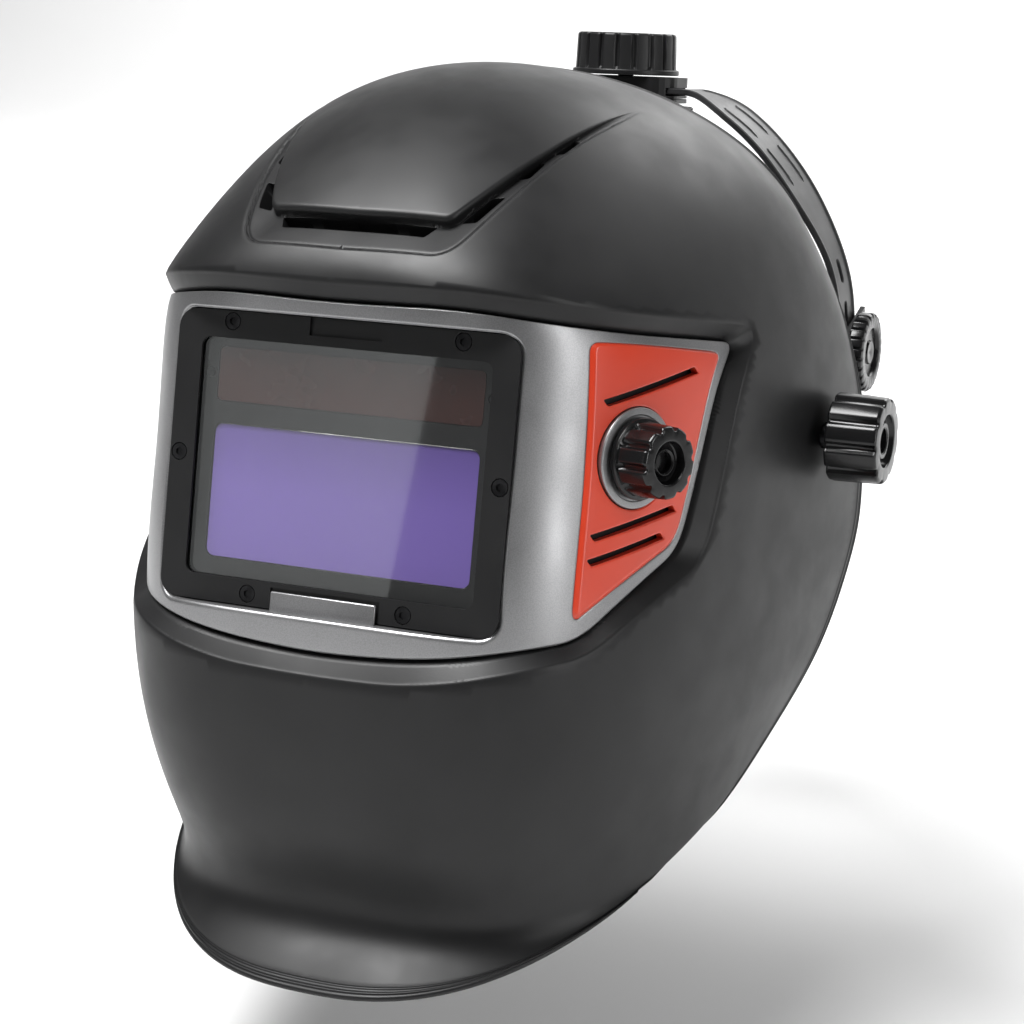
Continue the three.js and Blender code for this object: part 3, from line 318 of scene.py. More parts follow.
def solar_cells():
    """Thin-film cells: dark red brown, faintly mottled."""
    finish = Finish("solar_cells", color=(0.05, 0.018, 0.014), roughness=0.25)
    finish.color(finish.ramp(finish.noise(24.0, 2.0), (0.030, 0.0085, 0.0065), (0.036, 0.0105, 0.0080)))
    finish.roughness(finish.ramp(finish.noise(80.0, 2.0), 0.2, 0.3))
    return finish.material


# ---------------------------------------------------------------- the shell's surface
# Sections across the shell from the crown's rear edge to the chin's edge: the point on the middle
# plane [y, z], the point on the side edge [x, y, z], and the two exponents of the curve between them.

SECTIONS = [
    ((5, 120), (93, 36, 61), (1.95, 1.95)), ((-37, 124), (104, 38, 42), (1.95, 1.95)),
    ((-88, 111), (112, 38, 19), (2.2, 1.95)), ((-134, 81), (116, 39, -2), (3.0, 1.8)),
    ((-146, 57), (116, 40, -19), (4.0, 1.55)), ((-154, 18), (116, 38, -39), (4.3, 1.4)),
    ((-163, -25), (114, 28, -60), (4.4, 1.45)), ((-164, -70), (110, 10, -82), (4.1, 1.65)),
    ((-158, -108), (102, -14, -104), (3.6, 1.75)), ((-153, -135), (95, -44, -121), (3.05, 1.7)),
    ((-173, -151), (90, -68, -126), (2.5, 1.6)),
]
SHELL_WALL = 2.4
TRIM_DEPTH = 4.5
TRIM_WALL = 2.0
POCKET_DEPTH = 7.6
PLATE_DEPTH = 4.2
PLATE_WALL = 2.4
PLATE_FACE = 0.5           # how far the side plate's face stands above its seat
PLATE_CHAMFER = {"fall": 1.1, "width": 1.5}
PLATE_GAP = 0.35
COLLAR_HOLE = 16.05
NORMAL_PATCH = 0.025

# Outlines on the surface as corners (u, v, corner size), for the +u half.
RECESS_EDGE = [(0, 0.361, 0.16), (0.40, 0.344, 0.12), (0.672, 0.278, 0.03), (0.616, 0.556, 0.03),
               (0.452, 0.628, 0.03), (0.2, 0.654, 0.1), (0, 0.656, 0.08)]
TRIM_EDGE = [(0, 0.383, 0.16), (0.41, 0.366, 0.12), (0.652, 0.300, 0.024), (0.588, 0.549, 0.024),
             (0.448, 0.620, 0.03), (0.2, 0.638, 0.1), (0, 0.643, 0.08)]
SIDE_PLATE_EDGE = [(0.421, 0.379, 0.014), (0.629, 0.324, 0.018), (0.579, 0.541, 0.018), (0.435, 0.606, 0.012)]
SIDE_SLOTS = [((0.446, 0.438), (0.582, 0.372)), ((0.446, 0.542), (0.564, 0.513)),
              ((0.446, 0.561), (0.550, 0.537))]
SHADE_KNOB_UV = (0.498, 0.476)

SECTION_VALUES = np.array([[*front, *rim, *square] for front, rim, square in SECTIONS], float)


def spline_bend(values):
    """Second derivatives of the natural cubic spline through evenly spaced rows of values."""
    n = len(values)
    matrix = np.eye(n)
    right = np.zeros_like(values)
    for i in range(1, n - 1):
        matrix[i, i - 1:i + 2] = (1, 4, 1)
        right[i] = 6 * (values[i + 1] - 2 * values[i] + values[i - 1])
    return np.linalg.solve(matrix, right)


SECTION_BENDS = spline_bend(SECTION_VALUES)


def surface(u, v):
    """Points of the shell's outer surface, in millimetres, for arrays of u and v."""
    u, v = np.broadcast_arrays(np.asarray(u, float), np.asarray(v, float))
    place = v * (len(SECTIONS) - 1)
    i = np.clip(np.floor(place).astype(int), 0, len(SECTIONS) - 2)
    t = (place - i)[..., None]
    low, high = SECTION_VALUES[i], SECTION_VALUES[i + 1]
    bend = ((1 - t) ** 3 - (1 - t)) * SECTION_BENDS[i] + (t ** 3 - t) * SECTION_BENDS[i + 1]
    values = low * (1 - t) + high * t + bend / 6
    front_y, front_z, rim_x, rim_y, rim_z, across, along = np.moveaxis(values, -1, 0)
    angle = np.abs(u) * math.pi / 2
    cos, sin = np.maximum(np.cos(angle), 1e-9), np.maximum(np.sin(angle), 1e-9)
    reach = np.ones_like(cos)
    for _ in range(8):
        a, b = (reach * sin) ** across, (reach * cos) ** along
        reach -= (a + b - 1) * reach / (across * a + along * b)
    back = 1 - cos * reach
    x = np.sign(u) * rim_x * sin * reach
    return np.stack([x, front_y + (rim_y - front_y) * back, front_z + (rim_z - front_z) * back], -1)


def unit(vectors):
    return vectors / np.maximum(np.linalg.norm(vectors, axis=-1, keepdims=True), 1e-12)


def normal_at(u, v, step=NORMAL_PATCH):
    """Outward normals, averaged over a small patch."""
    u, v = np.broadcast_arrays(np.asarray(u, float), np.asarray(v, float))
    across = np.sign(u) * np.minimum(np.abs(u), 1 - step)
    down = np.clip(v, step, 1 - step)
    du = surface(across + step, down) - surface(across - step, down)
    dv = surface(across, down + step) - surface(across, down - step)
    return unit(np.cross(dv, du))


def lifted(u, v, height):
    """Points at a height above the surface, or below it where height is negative."""
    return surface(u, v) + np.asarray(height)[..., None] * normal_at(u, v)


def smooth(t):
    t = np.clip(t, 0, 1)
    return t * t * (3 - 2 * t)


# ---------------------------------------------------------------- outlines in the surface's chart
# The chart is (u, v) stretched to about millimetres.

CHART = np.array([250.0, 380.0])


def rounded(corners, closed=False, arc_steps=10):
    """Chart points round corners (u, v, size) whose corners are rounded by curves.

    A half outline starts and ends on the middle line, and a size there rounds it over the line.
    """
    points = []
    n = len(corners)
    for i, (u, v, size) in enumerate(corners):
        here = np.array([u, v], float)
        if size == 0:
            points.append(here * CHART)
            continue
        sides = []
        for other in (corners[i - 1], corners[(i + 1) % n]):
            to = np.array(other[:2], float)
            sides.append(here + (to - here) * min(0.45, size / np.linalg.norm(to - here)))
        first, last = not closed and i == 0, not closed and i == n - 1
        if first:
            sides[0] = sides[1] * [-1, 1]
        if last:
            sides[1] = sides[0] * [-1, 1]
        for t in np.linspace(0.5 if first else 0, 0.5 if last else 1, arc_steps + 1):
            points.append(((1 - t) ** 2 * sides[0] + 2 * t * (1 - t) * here + t * t * sides[1]) * CHART)
    return np.array(points)


def resampled(points, spacing, closed=False):
    """The same line with points about one spacing apart, corners kept where they turn."""
    line = np.vstack([points, points[:1]]) if closed else points
    lengths = np.linalg.norm(np.diff(line, axis=0), axis=1)
    out = []
    for a, b, length in zip(line[:-1], line[1:], lengths):
        count = max(1, round(length / spacing))
        out += [a + (b - a) * k / count for k in range(count)]
    if not closed:
        out.append(line[-1])
    return np.array(out)


def inside(points, polygon):
    """Whether each point is inside a closed polygon."""
    result = np.zeros(len(points), bool)
    x, y = points[:, 0], points[:, 1]
    for (ax, ay), (bx, by) in zip(polygon, np.roll(polygon, -1, axis=0)):
        crosses = (ay > y) != (by > y)
        with np.errstate(divide="ignore", invalid="ignore"):
            at = (bx - ax) * (y - ay) / (by - ay) + ax
        result ^= crosses & (x < at)
    return result


def distance(points, line, closed=False):
    """Distance from each point to a line of points."""
    best = np.full(len(points), np.inf)
    other = np.roll(line, -1, axis=0) if closed else line[1:]
    for a, b in zip(line if closed else line[:-1], other):
        edge = b - a
        along = np.clip((points - a) @ edge / max(edge @ edge, 1e-12), 0, 1)
        best = np.minimum(best, np.linalg.norm(points - a - along[:, None] * edge, axis=1))
    return best


def rows_beside(line, offsets, spacing, closed=False):
    """Rows of points beside a line, at offsets to its left."""
    base = resampled(line, spacing, closed)
    if closed:
        ahead, behind = np.roll(base, -1, axis=0), np.roll(base, 1, axis=0)
    else:
        ahead, behind = np.vstack([base[1:], base[-1:]]), np.vstack([base[:1], base[:-1]])
    tangent = unit(ahead - behind)
    left = np.stack([-tangent[:, 1], tangent[:, 0]], 1)
    return np.vstack([base + left * offset for offset in offsets])


def hexagons(low, high, spacing):
    """A triangular grid of points over a box."""
    rows = np.arange(low[1], high[1], spacing * math.sqrt(3) / 2)
    points = []
    for i, y in enumerate(rows):
        x = np.arange(low[0] + (i % 2) * spacing / 2, high[0], spacing)
        points.append(np.stack([x, np.full_like(x, y)], 1))
    return np.vstack(points)


def spread(fixed, loose, gap):
    """Loose points that are further than a gap from every fixed one."""
    cell = gap
    grid = {}
    for p in fixed:
        grid.setdefault((int(p[0] // cell), int(p[1] // cell)), []).append(p)
    kept = []
    for p in loose:
        i, j = int(p[0] // cell), int(p[1] // cell)
        near = (q for a in (i - 1, i, i + 1) for b in (j - 1, j, j + 1) for q in grid.get((a, b), ()))
        if all((p[0] - q[0]) ** 2 + (p[1] - q[1]) ** 2 > gap * gap for q in near):
            kept.append(p)
            grid.setdefault((i, j), []).append(p)
    return np.array(kept).reshape(-1, 2)


def triangulate(boundary_lines, loose, keep):
    """Triangles over constrained lines and loose points. keep says which middles stay."""
    points, edges = [], []
    for line, closed in boundary_lines:
        start = len(points)
        points += [Vector(p) for p in line]
        edges += [(start + k, start + k + 1) for k in range(len(line) - 1)]
        if closed:
            edges.append((len(points) - 1, start))
    points += [Vector(p) for p in loose]
    found, _, faces, _, _, _ = delaunay_2d_cdt(points, edges, [], 0, 1e-5)
    flat = np.array([tuple(p) for p in found])
    triangles = np.array([f for f in faces if len(f) == 3])
    middles = flat[triangles].mean(axis=1)
    triangles = triangles[keep(middles)]
    used, packed = np.unique(triangles, return_inverse=True)
    return flat[used], packed.reshape(-1, 3)


def both_sides(*offsets):
    """Offsets to the left of a line, then the same to its right."""
    return offsets + tuple(-offset for offset in offsets)


def alternating(*offsets):
    """Offsets to the left and the right of a line by turns."""
    return tuple(side * offset for offset in offsets for side in (1, -1))


def without_holes(outer, holes):
    """A test for points that are inside an outline and outside every hole."""
    def keep(points):
        good = inside(points, outer)
        for hole in holes:
            good &= ~inside(points, hole)
        return good
    return keep


def mesh_pattern(lines, rows, outer, holes, spacing, row_gap, grid_gap, box=None, nudge=0.0):
    """Triangles over a flat pattern: lines become edges, with rows of points beside them and a grid between.

    The gaps are the least distances that points of the rows and of the grid keep. nudge keeps rows on the
    outline's side at x = 0.
    """
    fixed = np.vstack([line for line, _ in lines])
    rows = np.vstack(rows)
    rows = spread(fixed, rows[inside(rows + [nudge, 0], outer)], row_gap)
    low, high = box or (outer.min(axis=0), outer.max(axis=0))
    grid = hexagons(low, high, spacing)
    grid = spread(np.vstack([fixed, rows]), grid[inside(grid, outer)], grid_gap)
    return triangulate(lines, np.vstack([rows, grid]), without_holes(outer, holes))


# ---------------------------------------------------------------- meshes


def new_object(name, verts, faces, material, normals=None):
    """An object from vertices in millimetres. normals holds one direction for each face corner."""
    mesh = bpy.data.meshes.new(name)
    mesh.from_pydata((np.asarray(verts) * MM).tolist(), [], [tuple(int(i) for i in f) for f in faces])
    shade_smooth(mesh)
    if normals is not None:
        mesh.normals_split_custom_set([tuple(n) for n in normals])
    mesh.materials.append(material)
    return add_object(name, mesh)


def boundary_edges(triangles):
    """Directed edges that belong to one triangle only."""
    edges = np.vstack([triangles[:, [0, 1]], triangles[:, [1, 2]], triangles[:, [2, 0]]])
    seen = {(int(a), int(b)) for a, b in edges}
    return [(a, b) for a, b in seen if (b, a) not in seen]


class Skin:
    """A sheet with thickness: a triangulated flat pattern that is mapped into space.

    mapping(flat, height) gives points in millimetres. height and under give the two faces. With
    mirror, the pattern has only x >= 0 and the other half is added across the middle plane.
    """

    STEP = 0.12
    WALL_STEPS = 5

    def __init__(self, flat, triangles, mapping, height, under, mirror=False, bulge=None):
        self.mapping = mapping
        top = mapping(flat, height(flat))
        bottom = mapping(flat, under(flat))
        turn = unit(np.cross(top[triangles[:, 1]] - top[triangles[:, 0]],
                             top[triangles[:, 2]] - top[triangles[:, 0]]))
        lift = (top - bottom)[triangles[:, 0]]
        if np.median(np.einsum("ij,ij->i", turn, lift)) < 0:
            triangles = triangles[:, ::-1]
        up, down = self.normals(flat, height, top - bottom), -self.normals(flat, under, top - bottom)
        count = len(flat)
        self.verts = [top, bottom]
        self.faces = [tuple(t) for t in triangles] + [tuple(t[::-1] + count) for t in triangles]
        self.corners = [up[triangles].reshape(-1, 3), down[triangles[:, ::-1]].reshape(-1, 3)]
        seam = np.abs(flat[:, 0]) < 1e-4 if mirror else np.zeros(count, bool)
        edges = np.array([(a, b) for a, b in boundary_edges(triangles) if not (seam[a] and seam[b])])
        if len(edges):
            self.add_walls(edges, top, bottom, up, seam, bulge(flat) if bulge else np.zeros(count))
        self.verts, self.corners = np.vstack(self.verts), np.vstack(self.corners)
        if mirror:
            self.add_other_half()

    def add_walls(self, edges, top, bottom, up, seam, bulge):
        """Side walls between the two faces, which are rounded outwards where bulge is above 0."""
        count = len(top)
        a, b = edges[:, 0], edges[:, 1]
        outward = np.zeros((count, 3))
        way = unit(np.cross(top[b] - top[a], up[a] + up[b]))
        np.add.at(outward, a, way)
        np.add.at(outward, b, way)
        outward[seam, 0] = 0
        used = np.unique(edges)
        slot = np.full(count, -1)
        slot[used] = np.arange(len(used))
        top, bottom, up = top[used], bottom[used], up[used]
        outward, bulge = unit(outward)[used], bulge[used][:, None]
        rings, ways = [used], []
        steps = self.WALL_STEPS
        for k in range(steps + 1):
            cos, sin = math.cos(math.pi * k / steps), math.sin(math.pi * k / steps)
            ways.append(np.where(bulge > 0, unit(cos * up + sin * outward), outward))
            if 0 < k < steps:
                curved = (top + bottom) / 2 + cos * ((top - bottom) / 2) + sin * bulge * outward
                rings.append(2 * count + (k - 1) * len(used) + np.arange(len(used)))
                self.verts.append(np.where(bulge > 0, curved, top + (bottom - top) * k / steps))
        rings.append(used + count)
        near, far = slot[a], slot[b]
        for k in range(steps):
            quads = np.stack([rings[k][far], rings[k][near], rings[k + 1][near], rings[k + 1][far]], 1)
            self.faces += [tuple(q) for q in quads]
            corners = [ways[k][far], ways[k][near], ways[k + 1][near], ways[k + 1][far]]
            self.corners.append(np.stack(corners, 1).reshape(-1, 3))

    def normals(self, flat, height, lift):
        """Normals of one face, on the side that lift points to."""
        along, across = np.array([self.STEP, 0]), np.array([0, self.STEP])
        at = lambda moved: self.mapping(moved, height(moved))
        du = at(flat + along) - at(flat - along)
        dv = at(flat + across) - at(flat - across)
        result = unit(np.cross(du, dv))
        return result * np.sign(np.einsum("ij,ij->i", result, lift))[:, None]

    def add_other_half(self):
        count = len(self.verts)
        middle = np.abs(self.verts[:, 0]) < 2e-3
        self.verts[middle, 0] = 0
        others = np.where(~middle)[0]
        partner = np.arange(count)
        partner[others] = count + np.arange(len(others))
        faces, corners = flipped([tuple(partner[list(f)]) for f in self.faces], self.corners)
        self.verts = np.vstack([self.verts, self.verts[others] * [-1, 1, 1]])
        self.faces = list(self.faces) + faces
        self.corners = np.vstack([self.corners, corners])

    def build(self, name, material, side=1):
        """side -1 gives the mirror image across the middle plane."""
        if side > 0:
            return new_object(name, self.verts, self.faces, material, self.corners)
        faces, corners = flipped(self.faces, self.corners)
        return new_object(name, self.verts * [-1, 1, 1], faces, material, corners)


def flipped(faces, corners):
    """The faces of a mirror image, turned the right way out, with their corner normals."""
    out_faces, out_corners, at = [], [], 0
    for face in faces:
        size = len(face)
        out_faces.append(tuple(face[::-1]))
        out_corners.append(corners[at:at + size][::-1] * [-1, 1, 1])
        at += size
    return out_faces, np.vstack(out_corners)


# ---------------------------------------------------------------- the shell


def on_shell(flat, height):
    return lifted(flat[:, 0] / CHART[0], flat[:, 1] / CHART[1], height)


def chart_solve(targets, project, depth, guess):
    """Chart points where the surface at a depth projects onto the targets."""
    flat = np.array(guess, float) * np.ones((len(targets), 1))
    at = lambda p: project(on_shell(p, np.full(len(p), -depth)))
    for _ in range(30):
        off = targets - at(flat)
        ex = (at(flat + [0.05, 0]) - at(flat - [0.05, 0])) / 0.1
        ey = (at(flat + [0, 0.05]) - at(flat - [0, 0.05])) / 0.1
        det = ex[:, 0] * ey[:, 1] - ex[:, 1] * ey[:, 0]
        move = np.stack([(off[:, 0] * ey[:, 1] - off[:, 1] * ey[:, 0]) / det,
                         (ex[:, 0] * off[:, 1] - ex[:, 1] * off[:, 0]) / det], 1)
        flat = flat + np.clip(move, -12, 12)
    return flat


WINDOW_CENTRE = np.array([0.0, -140.0, -2.0])
WINDOW_LEAN = math.radians(12.3)
WINDOW_IN = np.array([0.0, math.cos(WINDOW_LEAN), -math.sin(WINDOW_LEAN)])
WINDOW_UP = np.array([0.0, math.sin(WINDOW_LEAN), math.cos(WINDOW_LEAN)])
BEZEL = {"x": 58.9, "low": -34.7, "high": 56.6, "corner": 6.0, "front": -5.3, "back": -3.1}


def to_window(points):
    off = points - WINDOW_CENTRE
    return np.stack([off[..., 0], off @ WINDOW_UP], -1)


def from_window(x, inward, up):
    x, inward, up = np.broadcast_arrays(*(np.asarray(q, float) for q in (x, inward, up)))
    return (WINDOW_CENTRE + x[..., None] * np.array([1.0, 0, 0]) + inward[..., None] * WINDOW_IN
            + up[..., None] * WINDOW_UP)


def half_rectangle(x, low, high, corner, spacing=1.6, arc_steps=8):
    """The +x half of a rounded rectangle, from the middle of its top round to the middle of its bottom."""
    points = [[0, high]]
    for cx, cy, start in ((x - corner, high - corner, 90), (x - corner, low + corner, 0)):
        for k in range(arc_steps + 1):
            angle = math.radians(start - 90 * k / arc_steps)
            points.append([cx + corner * math.cos(angle), cy + corner * math.sin(angle)])
    points.append([0, low])
    return resampled(np.array(points, float), spacing)


def window_outline(grow, depth):
    """The half outline of the bezel, grown, on the surface at a depth."""
    b = BEZEL
    flat = half_rectangle(b["x"] + grow, b["low"] - grow, b["high"] + grow, b["corner"] + grow)
    out = chart_solve(flat, to_window, depth, (60.0, 190.0))
    out[0, 0] = out[-1, 0] = 0.0
    return out


def circle(radius, count):
    angle = np.linspace(0, 2 * math.pi, count, endpoint=False)
    return radius * np.stack([np.cos(angle), np.sin(angle)], 1)


def circle_outline(centre_uv, radius, count):
    """A circle on the surface round a point of it."""
    centre = surface(*centre_uv)
    out = normal_at(*centre_uv)
    side = unit(np.cross(out, [0, 0, 1.0]))
    up = np.cross(side, out)
    project = lambda p: np.stack([(p - centre) @ side, (p - centre) @ up], -1)
    return chart_solve(circle(radius, count), project, PLATE_DEPTH, np.array(centre_uv) * CHART)


def paired_lines(inner, outer, spacing=2.0):
    """Two outlines with the same number of corners, sampled so that their points pair up."""
    a, b = rounded(inner), rounded(outer)
    counts = [max(1, round(max(np.linalg.norm(a[i + 1] - a[i]), np.linalg.norm(b[i + 1] - b[i])) / spacing))
              for i in range(len(a) - 1)]
    pair = []
    for line in (a, b):
        points = [line[i] + (line[i + 1] - line[i]) * k / n for i, n in enumerate(counts) for k in range(n)]
        pair.append(np.array(points + [line[-1]]))
    return pair


# The hood over the crown ends in a lip above a slot. A tray lies round it, and vents go up each side.
HOOD_EDGE = [(0, 0.279, 0), (0.170, 0.2775, 0.012), (0.212, 0.2475, 0.02), (0.262, 0.2085, 0.02),
             (0.300, 0.171, 0.02), (0.357, 0.108, 0)]
TRAY_EDGE = [(0, 0.3125, 0), (0.186, 0.3105, 0.03), (0.267, 0.226, 0.02), (0.338, 0.147, 0.02),
             (0.362, 0.106, 0)]
HOOD_SLOT = [(0, 0.2797, 0), (0.1475, 0.2797, 0.001), (0.134, 0.2905, 0.003), (0, 0.2905, 0)]
VENTS = [
    [(0.2125, 0.2495, 0.003), (0.2335, 0.2495, 0.003), (0.208, 0.2735, 0.003), (0.184, 0.2735, 0.003)],
    [(0.2590, 0.2125, 0.002), (0.2650, 0.2140, 0.002), (0.2540, 0.2300, 0.003), (0.2365, 0.2300, 0.003)],
    [(0.2890, 0.1840, 0.002), (0.2990, 0.1860, 0.002), (0.2850, 0.2025, 0.002), (0.2715, 0.2025, 0.002)],
]
HOOD_DROP = 3.8
HOOD_FADE = {"start": 0.108, "length": 0.13}
TRAY_GROOVE = {"depth": 0.5, "width": 0.8}
RECESS_EDGE_RADIUS = 1.8
# How far the recess's wall has fallen, at shares of the way from the trim to the recess's edge.
RECESS_FALL = ([0, 0.06, 0.18, 0.93, 1.0], [7.6, 7.6, 4.9, 0.9, 0.42])
RIM_BEADS = [(0.5, 1.2, 0.7), (0.35, 3.9, 0.6)]      # height, distance from the rim, width
POCKET_FLOORS = (9.0, 7.0, 6.0, 5.0)      # depth of the slot and of each vent below the tray
LIP_RADIUS = 1.7
RIM_CORNERS = [(0, 0, 0), (1, 0, 0.07), (1, 1, 0.05), (0, 1, 0)]
PIVOT_HOLE = 4.6
PIVOT_UV = np.array([0.88, 0.379])
NECK_HOLE = 5.2


class ShellShape:
    """The moulded shell: its outlines in the chart, and the height of its two faces over the surface."""

    def __init__(self):
        self.trim, self.recess = paired_lines(TRIM_EDGE, RECESS_EDGE)
        self.hood = resampled(rounded(HOOD_EDGE), 1.0)
        self.tray = resampled(rounded(TRAY_EDGE), 1.2)
        self.rim = resampled(rounded(RIM_CORNERS), 2.4)
        self.tray_area = np.vstack([self.hood, self.tray[::-1]])
        self.hood_area = np.vstack([self.hood, [[120, -50], [0, -50]]])
        self.slot = resampled(rounded(HOOD_SLOT), 1.2)
        self.pockets = [np.vstack([self.slot, self.slot[::-1] * [-1, 1]])]
        self.pockets += [resampled(rounded(v, closed=True, arc_steps=4), 1.0, closed=True) for v in VENTS]

    def pocket_depth(self, p, wall):
        """How deep the slot and the vents are at each point. wall is the width of their side walls."""
        depth = np.zeros(len(p))
        for outline, floor in zip(self.pockets, POCKET_FLOORS):
            near = np.all((p > outline.min(axis=0) - 6) & (p < outline.max(axis=0) + 6), axis=1)
            if not near.any():
                continue
            away = distance(p[near], outline, closed=True) * np.where(inside(p[near], outline), 1, -1)
            share = np.clip(away / wall, 0, 1) if wall > 0 else smooth((away + 3.0) / 2.4)
            depth[near] = np.maximum(depth[near], floor * share)
        return depth

    def fade(self, p):
        """How much of the hood's step there is: none at the crown's rear edge, all of it at the slot."""
        return smooth((p[:, 1] - HOOD_FADE["start"] * CHART[1]) / (HOOD_FADE["length"] * CHART[1]))

    def height(self, flat):
        p = np.abs(flat * [1, 0]) + flat * [0, 1]
        h = np.zeros(len(p))
        to_hood, to_tray = distance(p, self.hood), distance(p, self.tray)
        fade = self.fade(p)
        drop = HOOD_DROP * fade
        on_tray, on_hood = inside(p, self.tray_area), inside(p, self.hood_area)
        share = to_tray / np.maximum(to_tray + to_hood, 1e-6)
        h = np.where(on_tray, -drop * np.minimum(to_hood / 0.35, 1) * (0.25 + 0.75 * share)
                     - (1 - np.minimum(to_hood / 0.35, 1)) * LIP_RADIUS * fade, h)
        lip = np.clip(1 - to_hood / LIP_RADIUS, 0, 1)
        h = np.where(on_hood & (to_hood < LIP_RADIUS), -fade * LIP_RADIUS * (1 - np.sqrt(1 - lip ** 2)), h)
        groove = TRAY_GROOVE["depth"] * np.exp(-(to_tray / TRAY_GROOVE["width"]) ** 2)
        h -= groove * smooth((p[:, 1] - 40) / 30)
        h -= self.pocket_depth(p, 0.3)
        to_recess, to_trim = distance(p, self.recess), distance(p, self.trim)
        on_recess, on_floor = inside(p, self.recess), inside(p, self.trim)
        share = to_trim / np.maximum(to_trim + to_recess, 1e-6)
        h = np.where(on_recess, -np.interp(share, *RECESS_FALL), h)
        h = np.where(on_floor, -POCKET_DEPTH, h)
        near_edge = np.clip(1 - to_recess / RECESS_EDGE_RADIUS, 0, 1)
        h = np.where(~on_recess, h - RECESS_FALL[1][-1] * near_edge ** 2, h)
        to_rim = distance(p, self.rim)
        return h + sum(high * np.exp(-((to_rim - at) / width) ** 2) for high, at, width in RIM_BEADS)

    def under(self, flat):
        """The inner face: it follows the recess and the tray, but not the fine edges."""
        p = np.abs(flat * [1, 0]) + flat * [0, 1]
        to_hood, to_tray = distance(p, self.hood), distance(p, self.tray)
        to_recess, to_trim = distance(p, self.recess), distance(p, self.trim)
        share = to_trim / np.maximum(to_trim + to_recess, 1e-6)
        fall = np.where(inside(p, self.recess), POCKET_DEPTH * (1 - smooth(share)), 0)
        fall = np.where(inside(p, self.trim), POCKET_DEPTH, fall)
        fade = self.fade(p)
        tray = np.where(inside(p, self.tray_area), smooth(to_tray / 6), smooth(1 - to_hood / 5))
        tray = np.where(inside(p, self.hood_area) | inside(p, self.tray_area), tray, 0)
        return -SHELL_WALL - fall - HOOD_DROP * fade * tray - self.pocket_depth(p, 0)

    def build(self, material):
        aperture = window_outline(2.4, POCKET_DEPTH)
        from_the_side = lambda p: p[..., 1:]
        pivot = chart_solve(circle(PIVOT_HOLE, 40), from_the_side, 0, PIVOT_UV * CHART)
        neck = circle_outline(SHADE_KNOB_UV, NECK_HOLE, 32)
        lines = [(self.rim, False), (self.recess, False), (self.trim, False), (self.hood, False),
                 (self.tray, False), (aperture, False), (self.slot, False), (pivot, True), (neck, True)]
        lines += [(vent, True) for vent in self.pockets[1:]]
        loose = [self.trim + (self.recess - self.trim) * share
                 for share in (0.06, 0.18, 0.35, 0.55, 0.75, 0.88, 0.93, 0.97)]
        loose.append(rows_beside(self.recess, (0.5, 1.0, 1.8, 2.8, -0.6), 1.8))
        loose.append(rows_beside(self.hood, (0.15, 0.36, -0.15, *alternating(0.5, 1.0, 1.7, 2.6)), 1.1))
        loose.append(rows_beside(self.tray, alternating(0.4, 0.8, 1.4, 2.2), 1.4))
        loose.append(rows_beside(self.rim, both_sides(0.4, 0.8, 1.2, 1.7, 2.3, 3.0, 3.5, 3.9, 4.3, 5.0), 2.4))
        loose += [rows_beside(line, alternating(0.3, 0.7, 1.6), 1.0, closed=True) for line in self.pockets]
        seam = np.arange(0, CHART[1], 2.2)
        loose.append(np.stack([np.zeros_like(seam), seam], 1))
        loose = np.vstack(loose)
        outer = np.vstack([self.rim, [[0, CHART[1]], [0, 0]]])
        flat, triangles = mesh_pattern(lines, [loose[loose[:, 0] >= 0]], outer, [aperture, pivot, neck], 3.3,
                                       0.13, 1.5, box=((1.6, 1.0), CHART), nudge=1e-4)
        bulge = lambda f: np.where(distance(f, self.rim) < 0.3, 1.1, 0.0)
        return Skin(flat, triangles, on_shell, self.height, self.under, mirror=True, bulge=bulge).build(
            "shell_moulding", material)


# ---------------------------------------------------------------- trim and side plate


def side_plate_outline():
    return resampled(rounded(SIDE_PLATE_EDGE, closed=True), 1.4, closed=True)


def grown_outline(line, amount):
    """A closed outline moved outwards."""
    centre = line.mean(axis=0)
    moved = rows_beside(line, (amount,), 1.4, closed=True)
    if np.linalg.norm(moved - centre, axis=1).mean() < np.linalg.norm(line - centre, axis=1).mean():
        moved = rows_beside(line, (-amount,), 1.4, closed=True)
    return moved


def edge_fall(distance_to_edge, radius):
    """How far a rounded edge falls away at a distance from it."""
    t = np.clip(1 - distance_to_edge / radius, 0, 1)
    return radius * (1 - np.sqrt(np.maximum(1 - t ** 2, 0)))


def both_halves(half):
    """A closed outline from its +x half, which starts and ends on the middle line."""
    return np.vstack([half, half[-2:0:-1] * [-1, 1]])


def build_trim(material):
    half, _ = paired_lines(TRIM_EDGE, RECESS_EDGE)
    trim, opening = both_halves(half), both_halves(window_outline(0.5, TRIM_DEPTH))
    plate = side_plate_outline()
    rows = [rows_beside(trim, both_sides(0.2, 0.5, 0.9, 1.5), 1.8, closed=True),
            rows_beside(plate, both_sides(0.2, 0.5, 0.9, 1.6), 1.4, closed=True),
            rows_beside(opening, both_sides(0.2, 0.5, 0.9, 1.4, 2.2), 1.6, closed=True)]

    def height(flat):
        fall = edge_fall(distance(flat, trim, closed=True), 0.9)
        fall += edge_fall(distance(flat, opening, closed=True), 1.2)
        fall += edge_fall(distance(flat, plate, closed=True), 0.6)
        return -TRIM_DEPTH - fall

    under = lambda flat: np.full(len(flat), -TRIM_DEPTH - TRIM_WALL)
    lines = [(trim, True), (plate, True), (opening, True)]
    flat, triangles = mesh_pattern(lines, rows, trim, [plate, opening], 3.0, 0.13, 1.4)
    return Skin(flat, triangles, on_shell, height, under).build("front_trim_panel", material)


